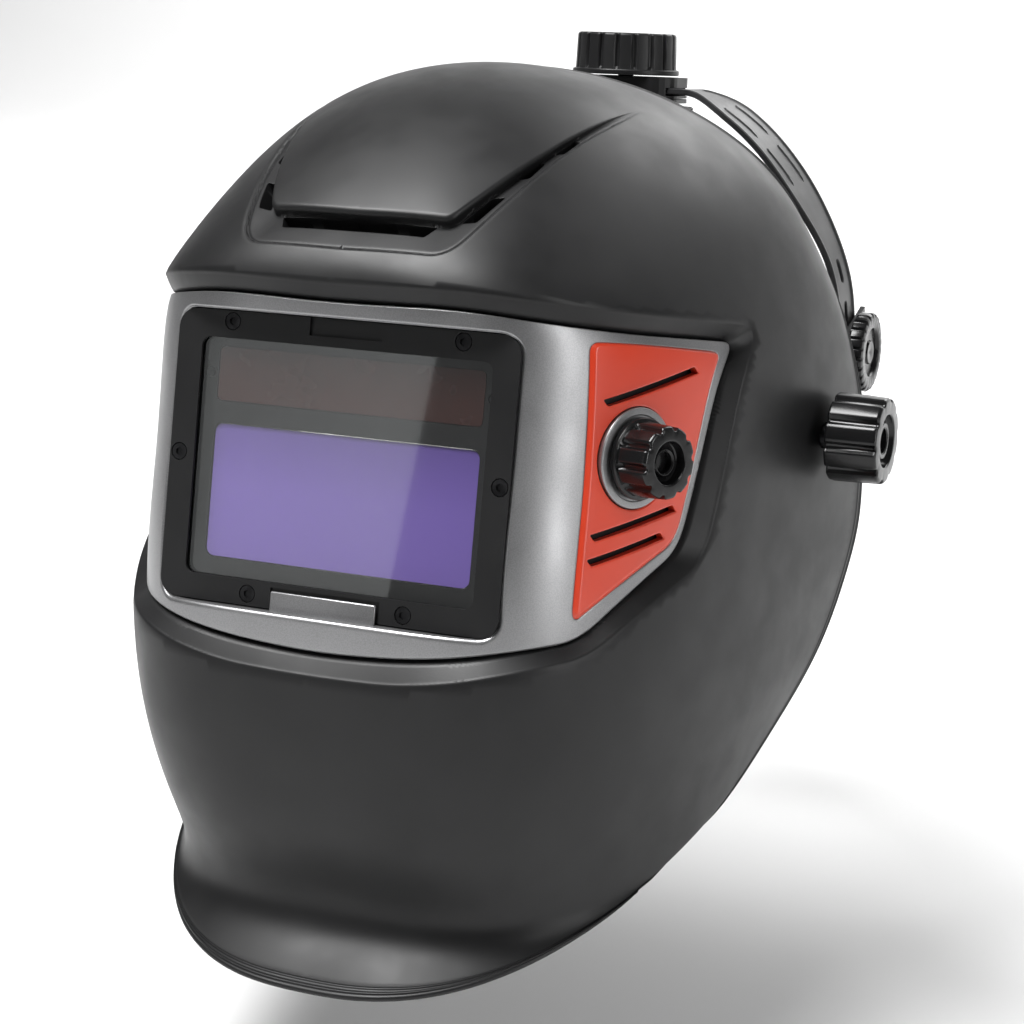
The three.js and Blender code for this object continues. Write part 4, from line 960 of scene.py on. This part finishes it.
def window_block(name, x, inward, up, material, bevel):
    """A block in the window's frame with rounded edges. Each range is (low, high)."""
    work = bmesh.new()
    bmesh.ops.create_cube(work, size=1.0)
    for vert in work.verts:
        place = [lo + (hi - lo) * (c + 0.5) for (lo, hi), c in zip((x, inward, up), vert.co)]
        vert.co = Vector(from_window(*place)) * MM
    bmesh.ops.bevel(work, geom=work.edges[:], offset=bevel * MM, segments=3, affect="EDGES", profile=0.5)
    mesh = bpy.data.meshes.new(name)
    work.to_mesh(mesh)
    work.free()
    shade_smooth(mesh, sharp=50)
    mesh.materials.append(material)
    return add_object(name, mesh)


def build_window_lip(material):
    """The trim's inner rim round the window, which runs back from its face to the bezel's seat."""
    b = BEZEL
    rings = []
    for grow, inward in ((0.5, None), (0.5, b["back"] - 0.2), (1.5, b["back"] - 0.2), (1.5, None)):
        half = half_rectangle(b["x"] + grow, b["low"] - grow, b["high"] + grow, b["corner"] + grow, 2.0)
        if inward is None:
            flat = chart_solve(half, to_window, TRIM_DEPTH + 1.2, (60.0, 190.0))
            flat[0, 0] = flat[-1, 0] = 0
            ring = on_shell(flat, np.full(len(flat), -TRIM_DEPTH - 1.2))
        else:
            ring = from_window(half[:, 0], inward, half[:, 1])
        rings.append(np.vstack([ring, ring[-2:0:-1] * [-1, 1, 1]]))
    return ring_object("window_lip", rings, material, sharp=30)


def ring_object(name, rings, material, sharp):
    """A ring-shaped object through closed rings that have the same number of points."""
    n = len(rings[0])
    faces = []
    for k in range(len(rings)):
        low, high = k * n, ((k + 1) % len(rings)) * n
        faces += [(low + i, low + (i + 1) % n, high + (i + 1) % n, high + i) for i in range(n)]
    obj = new_object(name, np.vstack(rings), faces, material)
    clean = bmesh.new()
    clean.from_mesh(obj.data)
    bmesh.ops.recalc_face_normals(clean, faces=clean.faces)
    clean.to_mesh(obj.data)
    clean.free()
    shade_smooth(obj.data, sharp)
    return obj


def chart_metric(uv):
    """The surface's directions at a point, for millimetres along it."""
    flat = np.array([np.array(uv) * CHART])
    zero = np.zeros(1)
    ex = (on_shell(flat + [0.5, 0], zero) - on_shell(flat - [0.5, 0], zero))[0]
    ey = (on_shell(flat + [0, 0.5], zero) - on_shell(flat - [0, 0.5], zero))[0]
    return ex, ey


def slot_outline(start, end, half_width=1.25, slant=1.6):
    """A straight slot with slanted ends between two points of the surface."""
    middle = (np.array(start) + np.array(end)) / 2
    out = unit(np.cross(*chart_metric(middle)))
    a, b = (surface(*q) for q in (start, end))
    along = unit(b - a)
    side = np.cross(out, along)
    half = np.linalg.norm(b - a) / 2
    corners = [(slant - half, half_width), (-half, -half_width), (half, -half_width),
               (half + slant, half_width)]
    outline = rounded([(*(np.array(c) / CHART), 0.0028) for c in corners], closed=True, arc_steps=5)
    outline = resampled(outline, 1.0, closed=True)
    project = lambda points: np.stack([(points - (a + b) / 2) @ along, (points - (a + b) / 2) @ side], 1)
    return chart_solve(outline, project, PLATE_DEPTH - PLATE_FACE, middle * CHART)


def build_side_plate(name, material):
    rim = grown_outline(side_plate_outline(), -PLATE_GAP)
    holes = [slot_outline(*slot) for slot in SIDE_SLOTS] + [circle_outline(SHADE_KNOB_UV, COLLAR_HOLE, 80)]
    lines = [(line, True) for line in [rim, *holes]]
    rows = [rows_beside(rim, both_sides(0.3, 0.7, 1.1, 1.5, 2.2), 1.4, closed=True)]
    rows += [rows_beside(hole, both_sides(0.25, 0.6), 1.0, closed=True) for hole in holes]

    def height(flat):
        to_rim = distance(flat, rim, closed=True)
        chamfer = PLATE_CHAMFER["fall"] * np.clip(1 - to_rim / PLATE_CHAMFER["width"], 0, 1)
        h = -PLATE_DEPTH + PLATE_FACE - chamfer - edge_fall(to_rim, 0.3)
        for hole in holes:
            h = h - edge_fall(distance(flat, hole, closed=True), 0.4)
        return h

    under = lambda flat: np.full(len(flat), -PLATE_DEPTH - PLATE_WALL)
    flat, triangles = mesh_pattern(lines, rows, rim, holes, 2.4, 0.13, 1.2)
    return Skin(flat, triangles, on_shell, height, under).build(name, material)


# ---------------------------------------------------------------- knobs


def basis(origin, axis, up=(0, 0, 1)):
    """A matrix whose z axis points along axis, in metres."""
    z = Vector(axis).normalized()
    x = Vector(up).cross(z)
    if x.length < 1e-4:
        x = Vector((1, 0, 0))
    x.normalize()
    y = z.cross(x)
    matrix = Matrix((x, y, z)).transposed().to_4x4()
    matrix.translation = Vector(origin) * MM
    return matrix


def arc(centre_r, centre_z, radius, start, end, steps=5):
    """Profile points [r, z] round an arc between two angles in degrees."""
    return [(centre_r + radius * math.cos(math.radians(a)), centre_z + radius * math.sin(math.radians(a)))
            for a in np.linspace(start, end, steps)]


def fluted(name, profile, place, material, lobes=0, groove=0.0, share=0.4):
    """A turned piece. Each profile point is (radius, height, how deep the flutes are there, 0 to 1)."""
    count = lobes * 16 if lobes else 72
    angle = np.linspace(0, 2 * math.pi, count, endpoint=False)
    wave = (np.cos(lobes * angle) + 1) / 2 if lobes else np.zeros(count)
    flute = smooth((wave - (1 - share)) / share) if lobes else wave
    rings = []
    for r, z, deep in profile:
        radius = np.maximum(r - groove * deep * flute, 0.001)
        rings.append(np.stack([radius * np.cos(angle), radius * np.sin(angle), np.full(count, z)], 1))
    obj = ring_object(name, rings, material, sharp=38)
    obj.matrix_world = place
    return obj


def knob_profile(radius, height, skirt, face, face_depth, hub, bore, bevel=1.2, wall=2.0):
    """The section of a moulded knob: skirt, fluted grip, hollow face with a hub, bore and hollow rear."""
    grip = radius - (skirt > 0) * 1.1
    points = []
    if skirt:
        points += [(r, z, 0) for r, z in arc(radius - 0.5, 0.5, 0.5, -90, 0)]
        points.append((radius, skirt - 0.5, 0))
        points += [(r, z, 0) for r, z in arc(radius - 0.5, skirt - 0.5, 0.5, 0, 70)]
        points += [(grip + 0.1, skirt + 0.1, 0.4)]
    else:
        points += [(r, z, 0.8) for r, z in arc(radius - 0.6, 0.6, 0.6, -90, 0)]
    points += [(grip, skirt + 1.0, 1), (grip - 0.15, height * 0.5, 1), (grip - 0.4, height - bevel, 1)]
    shoulder = arc(grip - 0.4 - bevel, height - bevel, bevel, 10, 90)
    points += [(r, z, 0.9 - 0.13 * i) for i, (r, z) in enumerate(shoulder)]
    points.append((face + 0.7, height, 0))
    points += [(r, z, 0) for r, z in arc(face + 0.5, height - 0.5, 0.5, 90, 180, 4)]
    floor = height - face_depth
    points += [(face - 0.3, floor + 0.4, 0), (face - 0.7, floor, 0)]
    points += [(hub + 0.4, floor, 0), (hub, floor + 0.3, 0), (hub, floor + 1.1, 0),
               (hub - 0.4, floor + 1.5, 0)]
    points += [(bore + 0.5, floor + 1.5, 0), (bore, floor + 1.1, 0), (bore, floor - 1.2, 0),
               (0.01, floor - 1.2, 0)]
    back = floor - 3.2
    points += [(0.01, back, 0), (bore, back, 0), (bore, 0.2, 0), (bore + 1.6, 0.2, 0), (bore + 1.6, back, 0)]
    points += [(grip - 0.4 - wall - 0.6, back, 0), (grip - wall - 0.6, 0, 0)]
    return points


def attach(piece, body, slot, *nodes):
    """Hides the solids that a piece replaces and puts the piece on the body that it rides on; slot, its
    material slot, is not used.
    """
    if nodes:
        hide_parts(*nodes)
    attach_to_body(piece, body)


def build_knob(name, place, material, radius, height, lobes, groove, skirt, face, hub, face_depth=2.4,
               share=0.45, bore=3.3):
    profile = knob_profile(radius, height, skirt, face, face_depth, hub, bore)
    return fluted(name, profile, place, material, lobes, groove, share)


SHADE_GRIP = {"radius": 12.75, "height": 13.2, "lobes": 10, "groove": 1.5, "skirt": 2.2, "face": 6.65,
              "hub": 4.4, "face_depth": 3.6, "share": 0.42}
SHADE_GRIP_GAP = 1.3
TENSION_GRIP = {"radius": 15.2, "height": 18.0, "lobes": 10, "groove": 1.8, "skirt": 0, "face": 9.0,
                "hub": 6.4, "face_depth": 2.6, "share": 0.4, "bore": 4.3}
TENSION_GRIP_X = 117.2
CROWN_GRIP = {"radius": 20.4, "height": 15.6, "lobes": 18, "groove": 1.2, "skirt": 2.0, "face": 12.2,
              "hub": 5.0, "share": 0.22}
REAR_GRIP = {"radius": 21.0, "height": 15.8, "lobes": 18, "groove": 1.2, "skirt": 2.0, "face": 12.6,
             "hub": 5.0, "share": 0.22}
RATCHET_HEIGHT = 10.2      # from a ratchet's base to its knob
SIDE_WHEEL = {"lobes": 24, "groove": 0.9, "share": 0.5}
SIDE_WHEEL_PLACE = (95.6, 99, 9)
# Turned sections as [radius, height, depth of the flutes].
COLLAR_PROFILE = [(5.3, -2.3, 0), (15.7, -2.3, 0), (15.7, 0.3, 0),
                  *((r, z, 0) for r, z in arc(15.2, 0.5, 0.5, 0, 90)),
                  (13.6, 1.0, 0), (13.2, 0.5, 0), (5.3, 0.5, 0)]
WHEEL_PROFILE = [(2.8, 0.2, 0), (14.2, 0.2, 0), (15.0, 1.0, 1), (15.0, 4.8, 1), (14.4, 5.7, 0.9),
                 (13.4, 6.0, 0.5), (9.6, 6.0, 0), (9.2, 5.7, 0), (8.9, 4.6, 0), (4.6, 4.6, 0), (4.2, 5.4, 0),
                 (2.0, 5.4, 0), (0.01, 5.0, 0), (0.01, 3.2, 0), (2.8, 3.2, 0)]


def build_knobs(made):
    knob_out = normal_at(*SHADE_KNOB_UV)
    knob_base = surface(*SHADE_KNOB_UV) - PLATE_DEPTH * knob_out
    collar = fluted("shade_collar", COLLAR_PROFILE, basis(knob_base, knob_out), made["trim"])
    attach(collar, "visor", "silver_trim", "shade_knob_ring")
    place = basis(knob_base + SHADE_GRIP_GAP * knob_out, knob_out)
    attach(build_knob("shade_grip", place, made["gloss"], **SHADE_GRIP), "shade_knob", "gloss_black_plastic",
           "shade_knob")
    for side, name in ((1, "left"), (-1, "right")):
        knob = "tension_knob_" + name
        place = basis((side * TENSION_GRIP_X, 0, 0), (side, 0, 0))
        attach(build_knob("tension_grip_" + name, place, made["gloss"], **TENSION_GRIP), knob,
               "gloss_black_plastic", knob)
        dial = "side_dial_" + name
        x, y, z = SIDE_WHEEL_PLACE
        place = basis((side * x, y, z), (side, 0, 0))
        attach(fluted("side_wheel_" + name, WHEEL_PROFILE, place, made["gloss"], **SIDE_WHEEL), dial,
               "gloss_black_plastic", dial)
    crown_axis = np.array([0, math.sin(CROWN["lean"]), math.cos(CROWN["lean"])])
    crown_base = np.array([0, CROWN["y"], CROWN["z"]]) + RATCHET_HEIGHT * crown_axis
    crown = build_knob("crown_grip", basis(crown_base, crown_axis, up=(0, 1, 0)), made["nylon"], **CROWN_GRIP)
    attach(crown, "crown_adjuster", "gloss_black_plastic", "crown_knob")
    rear_place = basis((0, REAR["y"] + RATCHET_HEIGHT, REAR["z"]), (0, 1, 0))
    rear = build_knob("rear_grip", rear_place, made["nylon"], **REAR_GRIP)
    attach(rear, "rear_adjuster", "gloss_black_plastic", "rear_knob")


# ---------------------------------------------------------------- straps and bands
# The same sizes as the moving parts that these pieces follow.

BAND = {"centre_y": 58.0, "half_x": 92.0, "half_y": 98.0, "mid_z": 2.0, "slope": 10.0, "half_height": 11.0}
BAND_SCALE = 95.0
STRAP_WALL = 1.8
STRAP_EDGE = 0.45          # radius of its long edges
STRAP_RIDGE = 0.55         # height of the rail and the ridges
HOOP = {"upper_y": 93.8, "lower_y": 98.0, "upper_half": 14.2, "lower_half": 10.0, "from": 0.28, "to": 0.6}
HOOP_PATH = [(46.5, 96.6), (62, 83.4), (77, 62.4), (86, 44), (89.7, 27), (89.7, 9), (89.7, -8)]
CROWN = {"y": 98.0, "z": 99.4, "lean": math.radians(5)}
REAR = {"y": 150.5, "z": -8.0}
BAND_END = math.radians(118)         # where the headband ends and the rear straps begin
BAND_SLOTS = {"first": 112, "pitch": 17, "length": 10, "half": 1.4, "rows": (-4.0, 4.0)}
FOREHEAD_SLOTS = {"pitch": 22, "half_length": 6, "half": 1.8}
REAR_SLOTS = {"from_end": (30, 15), "length": 10, "half": 1.5, "rows": (-4, 4)}
HOOP_SLOTS = {"from_end": (52, 36, 20), "length": 9, "half": 1.6}
HOOP_RIDGES = {"at": (44, 66), "rows": (-6.2, 6.2), "length": 17, "half": 1.5}
RACK_HALF = 12.0                     # half width of the crown strap's toothed tail
TAIL = {"low": 3.4, "inner": 7.3, "outer": 10.0, "wide": 31.0, "end": 39.0, "tip": -17.0}
RACK_PITCH = math.pi
TOOTH = {"root": 0.8, "top": 0.35, "tip": 5.4}       # half widths, and how far in the tip reaches


def band_mapping(flat, height):
    """x runs round the oval of the head, from the front towards the left, and y runs up."""
    angle = flat[:, 0] / BAND_SCALE
    sin, cos = np.sin(angle), np.cos(angle)
    out = unit(np.stack([sin / BAND["half_x"], -cos / BAND["half_y"], np.zeros_like(sin)], 1))
    base = np.stack([BAND["half_x"] * sin, BAND["centre_y"] - BAND["half_y"] * cos,
                     BAND["mid_z"] + BAND["slope"] * cos + flat[:, 1]], 1)
    return base + np.asarray(height)[:, None] * out


class PathMap:
    """Maps x along a path of points, y across it and height outwards."""

    def __init__(self, points, across, start=0.0):
        points = np.array(points, float)
        for _ in range(3):
            finer = np.empty((2 * len(points) - 1, 3))
            finer[::2] = points
            finer[1::2] = (points[:-1] + points[1:]) / 2
            inner = finer[1:-1].copy()
            finer[1:-1] = 0.25 * finer[:-2] + 0.5 * inner + 0.25 * finer[2:]
            points = finer
        lengths = np.concatenate([[0], np.cumsum(np.linalg.norm(np.diff(points, axis=0), axis=1))])
        self.at = lengths + start
        self.points = points
        across = np.array(across, float)
        share = np.linspace(0, 1, len(across))
        place = np.linspace(0, 1, len(points))
        self.across = unit(np.stack([np.interp(place, share, across[:, k]) for k in range(3)], 1))
        tangent = unit(np.gradient(points, axis=0))
        self.out = unit(np.cross(self.across, tangent))

    def sample(self, values, x):
        return np.stack([np.interp(x, self.at, values[:, k]) for k in range(3)], 1)

    def __call__(self, flat, height):
        x = flat[:, 0]
        past = np.clip(x - self.at[-1], 0, None) + np.clip(x - self.at[0], None, 0)
        tangent = unit(self.sample(np.gradient(self.points, axis=0), x))
        base = self.sample(self.points, x) + past[:, None] * tangent
        return (base + flat[:, 1:2] * self.sample(self.across, x)
                + np.asarray(height)[:, None] * unit(self.sample(self.out, x)))


def rack_tail(half):
    """The outline of a strap's toothed tail and wide end, on the strap's pattern, up to x = wide."""
    points = [(TAIL["wide"] - 2.5, TAIL["outer"]), (TAIL["tip"], TAIL["outer"]), (TAIL["tip"], TAIL["inner"])]
    for i in range(-4, 5):
        x, top, root = (i + 0.5) * RACK_PITCH, TOOTH["top"], TOOTH["root"]
        points += [(x - root, TAIL["inner"]), (x - top, TOOTH["tip"]), (x + top, TOOTH["tip"]),
                   (x + root, TAIL["inner"])]
    points += [(TAIL["wide"] - 4, TAIL["inner"]), (TAIL["wide"] - 4.5, -half + 2)]
    return points


def stadium(x0, x1, y, half, steps=6):
    """A slot's outline with round ends, from x0 to x1."""
    points = []
    for centre, start in ((x1 - half, -90), (x0 + half, 90)):
        points += [(centre + half * math.cos(math.radians(start + 180 * k / steps)),
                    y + half * math.sin(math.radians(start + 180 * k / steps))) for k in range(steps + 1)]
    return np.array(points, float)


def strap_skin(outline, holes, ridges, mapping, rail, spacing=2.0):
    """A moulded strap: holes go through it, ridges stand on it, and a rail runs along its edges."""
    rim = resampled(np.array(outline, float), 1.2, closed=True)
    holes = [resampled(h, 0.9, closed=True) for h in holes]
    ridges = [resampled(r, 0.9, closed=True) for r in ridges]
    lines = [(line, True) for line in [rim, *holes]]
    rows = [rows_beside(rim, both_sides(0.25, 0.6, 1.2, 1.6, 2.2), 1.2, closed=True)]
    rows += [rows_beside(h, both_sides(0.25, 0.6), 0.9, closed=True) for h in holes]
    rows += [rows_beside(r, (0, *both_sides(0.3, 0.6)), 0.9, closed=True) for r in ridges]

    def height(flat):
        to_rim = distance(flat, rim, closed=True)
        h = STRAP_WALL - edge_fall(to_rim, STRAP_EDGE) + STRAP_RIDGE * (1 - smooth((to_rim - rail) / 0.5))
        for hole in holes:
            h = h - edge_fall(distance(flat, hole, closed=True), 0.35)
        for ridge in ridges:
            inner = np.where(inside(flat, ridge), 1, -1) * distance(flat, ridge, closed=True)
            h = h + STRAP_RIDGE * smooth((inner + 0.1) / 0.6)
        return h

    def under(flat):
        return edge_fall(distance(flat, rim, closed=True), STRAP_EDGE)

    flat, triangles = mesh_pattern(lines, rows, rim, holes, spacing, 0.16, spacing * 0.5)
    return Skin(flat, triangles, mapping, height, under)


def place_strap(skin, piece, strap, rack, material, side):
    """A strap in one piece with its toothed tail, in a fixed curve between the band and the sliding rack; the
    strap and rack solids are hidden.
    """
    name = "left" if side > 0 else "right"
    obj = skin.build(piece + name, material, side)
    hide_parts(strap + name, rack + name)
    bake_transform(obj)


def teardrop(x, y, length, half):
    """A ridge's outline with a blunt end and a fine one."""
    points = [(x + half + half * math.cos(a), y + half * math.sin(a))
              for a in np.linspace(math.pi / 2, 3 * math.pi / 2, 7)]
    points += [(x + length, y - 0.25), (x + length, y + 0.25)]
    return np.array(points, float)


def along_hoop(share, upper, lower):
    """A measure that changes from upper to lower on the way down the crown strap."""
    return upper + (lower - upper) * smooth((share - HOOP["from"]) / (HOOP["to"] - HOOP["from"]))


def crown_path():
    """From the tail's tip in the ratchet, out to the left and down to the band."""
    sin, cos = math.sin(CROWN["lean"]), math.cos(CROWN["lean"])
    lift = TAIL["low"]
    points = [(x, CROWN["y"] + lift * sin, CROWN["z"] + lift * cos) for x in (TAIL["tip"], 0, 12, 24, 32)]
    middle = along_hoop(np.linspace(0, 1, len(HOOP_PATH)), HOOP["upper_y"], HOOP["lower_y"])
    points += [(x, y, z) for (x, z), y in zip(HOOP_PATH, middle)]
    lean = (0, -cos, sin)
    return points, [lean] * 5 + [(0, -1, 0)] * len(HOOP_PATH)


def build_crown_strap(material, side):
    points, across = crown_path()
    mapping = PathMap(points, across, TAIL["tip"])
    end = mapping.at[-1]
    half = HOOP["lower_half"]
    hoop_start = TAIL["end"] + 7.5
    along = np.linspace(TAIL["wide"] + 2, end - 5, 40)
    share = (along - hoop_start) / (end - hoop_start)
    widths = along_hoop(share, HOOP["upper_half"], half)
    widths -= 2.6 * (1 - smooth((along - TAIL["wide"]) / 14))
    outline = rack_tail(RACK_HALF) + list(zip(along, -widths))
    outline += [(end - 1.5, -half + 1.5), (end, -half + 5), (end, half - 5), (end - 1.5, half - 1.5)]
    outline += list(zip(along, widths))[::-1]
    slots = HOOP_SLOTS
    holes = [stadium(end - x, end - x + slots["length"], 0.0, slots["half"]) for x in slots["from_end"]]
    holes.append(stadium(end - 9, end - 5, 0.0, slots["half"]))
    ridges = [teardrop(x, y, HOOP_RIDGES["length"], HOOP_RIDGES["half"])
              for x in HOOP_RIDGES["at"] for y in HOOP_RIDGES["rows"]]
    skin = strap_skin(outline, holes, ridges, mapping, 1.5)
    place_strap(skin, "crown_hoop_", "crown_strap_", "crown_rack_", material, side)


def rear_path():
    points = [(x, REAR["y"] + TAIL["low"], REAR["z"]) for x in (TAIL["tip"], 0, 12, 24, 31)]
    points.append((39.0, REAR["y"] + TAIL["low"] - 4.4 + 0.8, REAR["z"] + 0.3))
    for degrees in (146, 141, 136, 130, 124, 118.4):
        angle = math.radians(degrees)
        points.append((BAND["half_x"] * math.sin(angle), BAND["centre_y"] - BAND["half_y"] * math.cos(angle),
                       BAND["mid_z"] + BAND["slope"] * math.cos(angle)))
    return points


def build_rear_strap(material, side):
    points = rear_path()
    mapping = PathMap(points, [(0, 0, 1)] * len(points), TAIL["tip"])
    end = mapping.at[-1]
    half = BAND["half_height"]
    outline = rack_tail(half - 1) + [(TAIL["end"], -half), (end, -half), (end, half), (TAIL["end"], half)]
    slots = REAR_SLOTS
    holes = [stadium(end - x, end - x + slots["length"], y, slots["half"])
             for x in slots["from_end"] for y in slots["rows"]]
    skin = strap_skin(outline, holes, [], mapping, 1.4)
    place_strap(skin, "rear_band_", "rear_strap_", "rear_rack_", material, side)


def build_headband(material):
    end, half = BAND_END * BAND_SCALE, BAND["half_height"]
    outline = [(-end, -half), (end, -half), (end, half), (-end, half)]
    holes = []
    for side in (-1, 1):
        for k in range(3):
            near = BAND_SLOTS["first"] + BAND_SLOTS["pitch"] * k
            low, high = sorted((side * near, side * (near + BAND_SLOTS["length"])))
            holes += [stadium(low, high, y, BAND_SLOTS["half"]) for y in BAND_SLOTS["rows"]]
    for k in range(-3, 4):
        middle, reach = FOREHEAD_SLOTS["pitch"] * k, FOREHEAD_SLOTS["half_length"]
        holes.append(stadium(middle - reach, middle + reach, 0, FOREHEAD_SLOTS["half"]))
    skin = strap_skin(outline, holes, [], band_mapping, 1.4, spacing=2.6)
    attach(skin.build("headband_moulding", material), "headgear", "band_plastic", "headband")


# ---------------------------------------------------------------- soft pads


PAD_PRESSURE = 4.0
PAD_FRAMES = 20
PAD_GROWTH = 0.0011        # the furthest that a point of a pad may move


def soften(name, node, voxel, shrink, material):
    """A stuffed pad made from the solid of a node by a short cloth simulation."""
    pad = add_object(name, NODES[node].data.copy())
    bpy.context.view_layer.objects.active = pad
    remesh = pad.modifiers.new("remesh", "REMESH")
    remesh.mode = "VOXEL"
    remesh.voxel_size = voxel
    apply_modifier(pad, "remesh")
    for v in pad.data.vertices:
        v.co -= v.normal * shrink
    shade_smooth(pad.data)
    inflate(pad)
    pad.data.update()
    finer = pad.modifiers.new("finer", "SUBSURF")
    finer.levels = finer.render_levels = 1
    apply_modifier(pad, "finer")
    pad.data.materials.clear()
    pad.data.materials.append(material)
    attach(pad, "headgear", "pad_foam", node)


def inflate(pad):
    start = np.array([v.co for v in pad.data.vertices])
    cloth = pad.modifiers.new("cloth", "CLOTH")
    cloth.settings.use_pressure = True
    cloth.settings.uniform_pressure_force = PAD_PRESSURE
    cloth.settings.quality = 5
    cloth.settings.tension_stiffness = 30
    cloth.settings.compression_stiffness = 30
    cloth.settings.bending_stiffness = 1.5
    cloth.settings.effector_weights.gravity = 0
    cloth.point_cache.frame_start = 1
    cloth.point_cache.frame_end = PAD_FRAMES
    for number in range(1, PAD_FRAMES + 1):
        bpy.context.scene.frame_set(number)
    apply_modifier(pad, "cloth")
    bpy.context.scene.frame_set(1)
    change = np.array([v.co for v in pad.data.vertices]) - start
    size = np.maximum(np.linalg.norm(change, axis=1, keepdims=True), 1e-9)
    pad.data.vertices.foreach_set("co", (start + change * np.minimum(1, PAD_GROWTH / size)).ravel())


def apply_modifier(obj, name):
    with bpy.context.temp_override(object=obj, active_object=obj, selected_objects=[obj]):
        bpy.ops.object.modifier_apply(modifier=name)


# ---------------------------------------------------------------- finishing the carried-over solids


# How the carried-over nodes are finished: material, width of the bevel on their edges, nodes.
CARRIED = [
    ("nylon", 0.35, ["lens_bezel"]),
    ("nylon", 0.5, ["pivot_spacer_left", "pivot_spacer_right"]),
    ("nylon", 0.3, ["lens_carrier", "filter_cartridge", "cartridge_retainer", "battery_cover", "crown_base",
                    "crown_housing", "rear_base", "rear_housing"]),
    ("steel", 0.15, [f"bezel_screw_{side}_{k}" for side in ("left", "right") for k in (1, 2, 3)]),
    ("steel", 0.3, ["pivot_stud_left", "pivot_stud_right"]),
    ("steel", 0.2, ["shade_potentiometer", "crown_pinion", "rear_pinion"]),
    ("gloss", 0.1, ["arc_sensor_left", "arc_sensor_right"]),
    ("gloss", 0.25, ["sensitivity_knob", "delay_knob", "test_button"]),
    ("band", 0.4, ["side_arm_left", "side_arm_right"]),
    ("cover", 0.15, ["outer_cover_lens", "inner_cover_lens"]),
    ("filter", 0.15, ["filter_glass"]),
    ("solar", 0.15, ["solar_panel"]),
    ("cable", 0, ["shade_control_lead"]),
]
EDGE_ANGLE = math.radians(32)


def finish_node(node, material, bevel):
    obj = NODES[node]
    obj.data.materials.clear()
    obj.data.materials.append(material)
    if not bevel:
        shade_smooth(obj.data)
        return
    edge = obj.modifiers.new("edges", "BEVEL")
    edge.width = bevel * MM
    edge.segments = 2
    edge.limit_method = "ANGLE"
    edge.angle_limit = EDGE_ANGLE
    edge.harden_normals = False
    edge.use_clamp_overlap = True
    weighted = obj.modifiers.new("normals", "WEIGHTED_NORMAL")
    weighted.keep_sharp = True


TAB = {"x": (-18.3, 18.3), "inward": (-6.7, -5.45), "up": (-36.2, -29.0)}


def main():
    made = make_materials()
    make_camera()
    make_studio()
    attach(ShellShape().build(made["shell"]), "visor", "shell_plastic", "shell")
    attach(build_trim(made["trim"]), "visor", "silver_trim", "front_trim")
    attach(build_window_lip(made["trim"]), "visor", "silver_trim")
    attach(window_block("trim_tab", **TAB, material=made["trim"], bevel=0.5), "visor", "silver_trim")
    attach(build_side_plate("side_plate_slotted", made["red"]), "visor", "red_plastic", "side_plate")
    build_knobs(made)
    build_headband(made["band"])
    for side in (1, -1):
        build_crown_strap(made["band"], side)
        build_rear_strap(made["band"], side)
    soften("brow_cushion", "brow_pad", 0.0032, 0.0009, made["foam"])
    soften("crown_cushion", "crown_pad", 0.0028, 0.0008, made["foam"])
    soften("rear_cushion", "rear_pad", 0.0030, 0.0008, made["foam"])
    for material, bevel, nodes in CARRIED:
        for node in nodes:
            finish_node(node, made[material], bevel)


main()
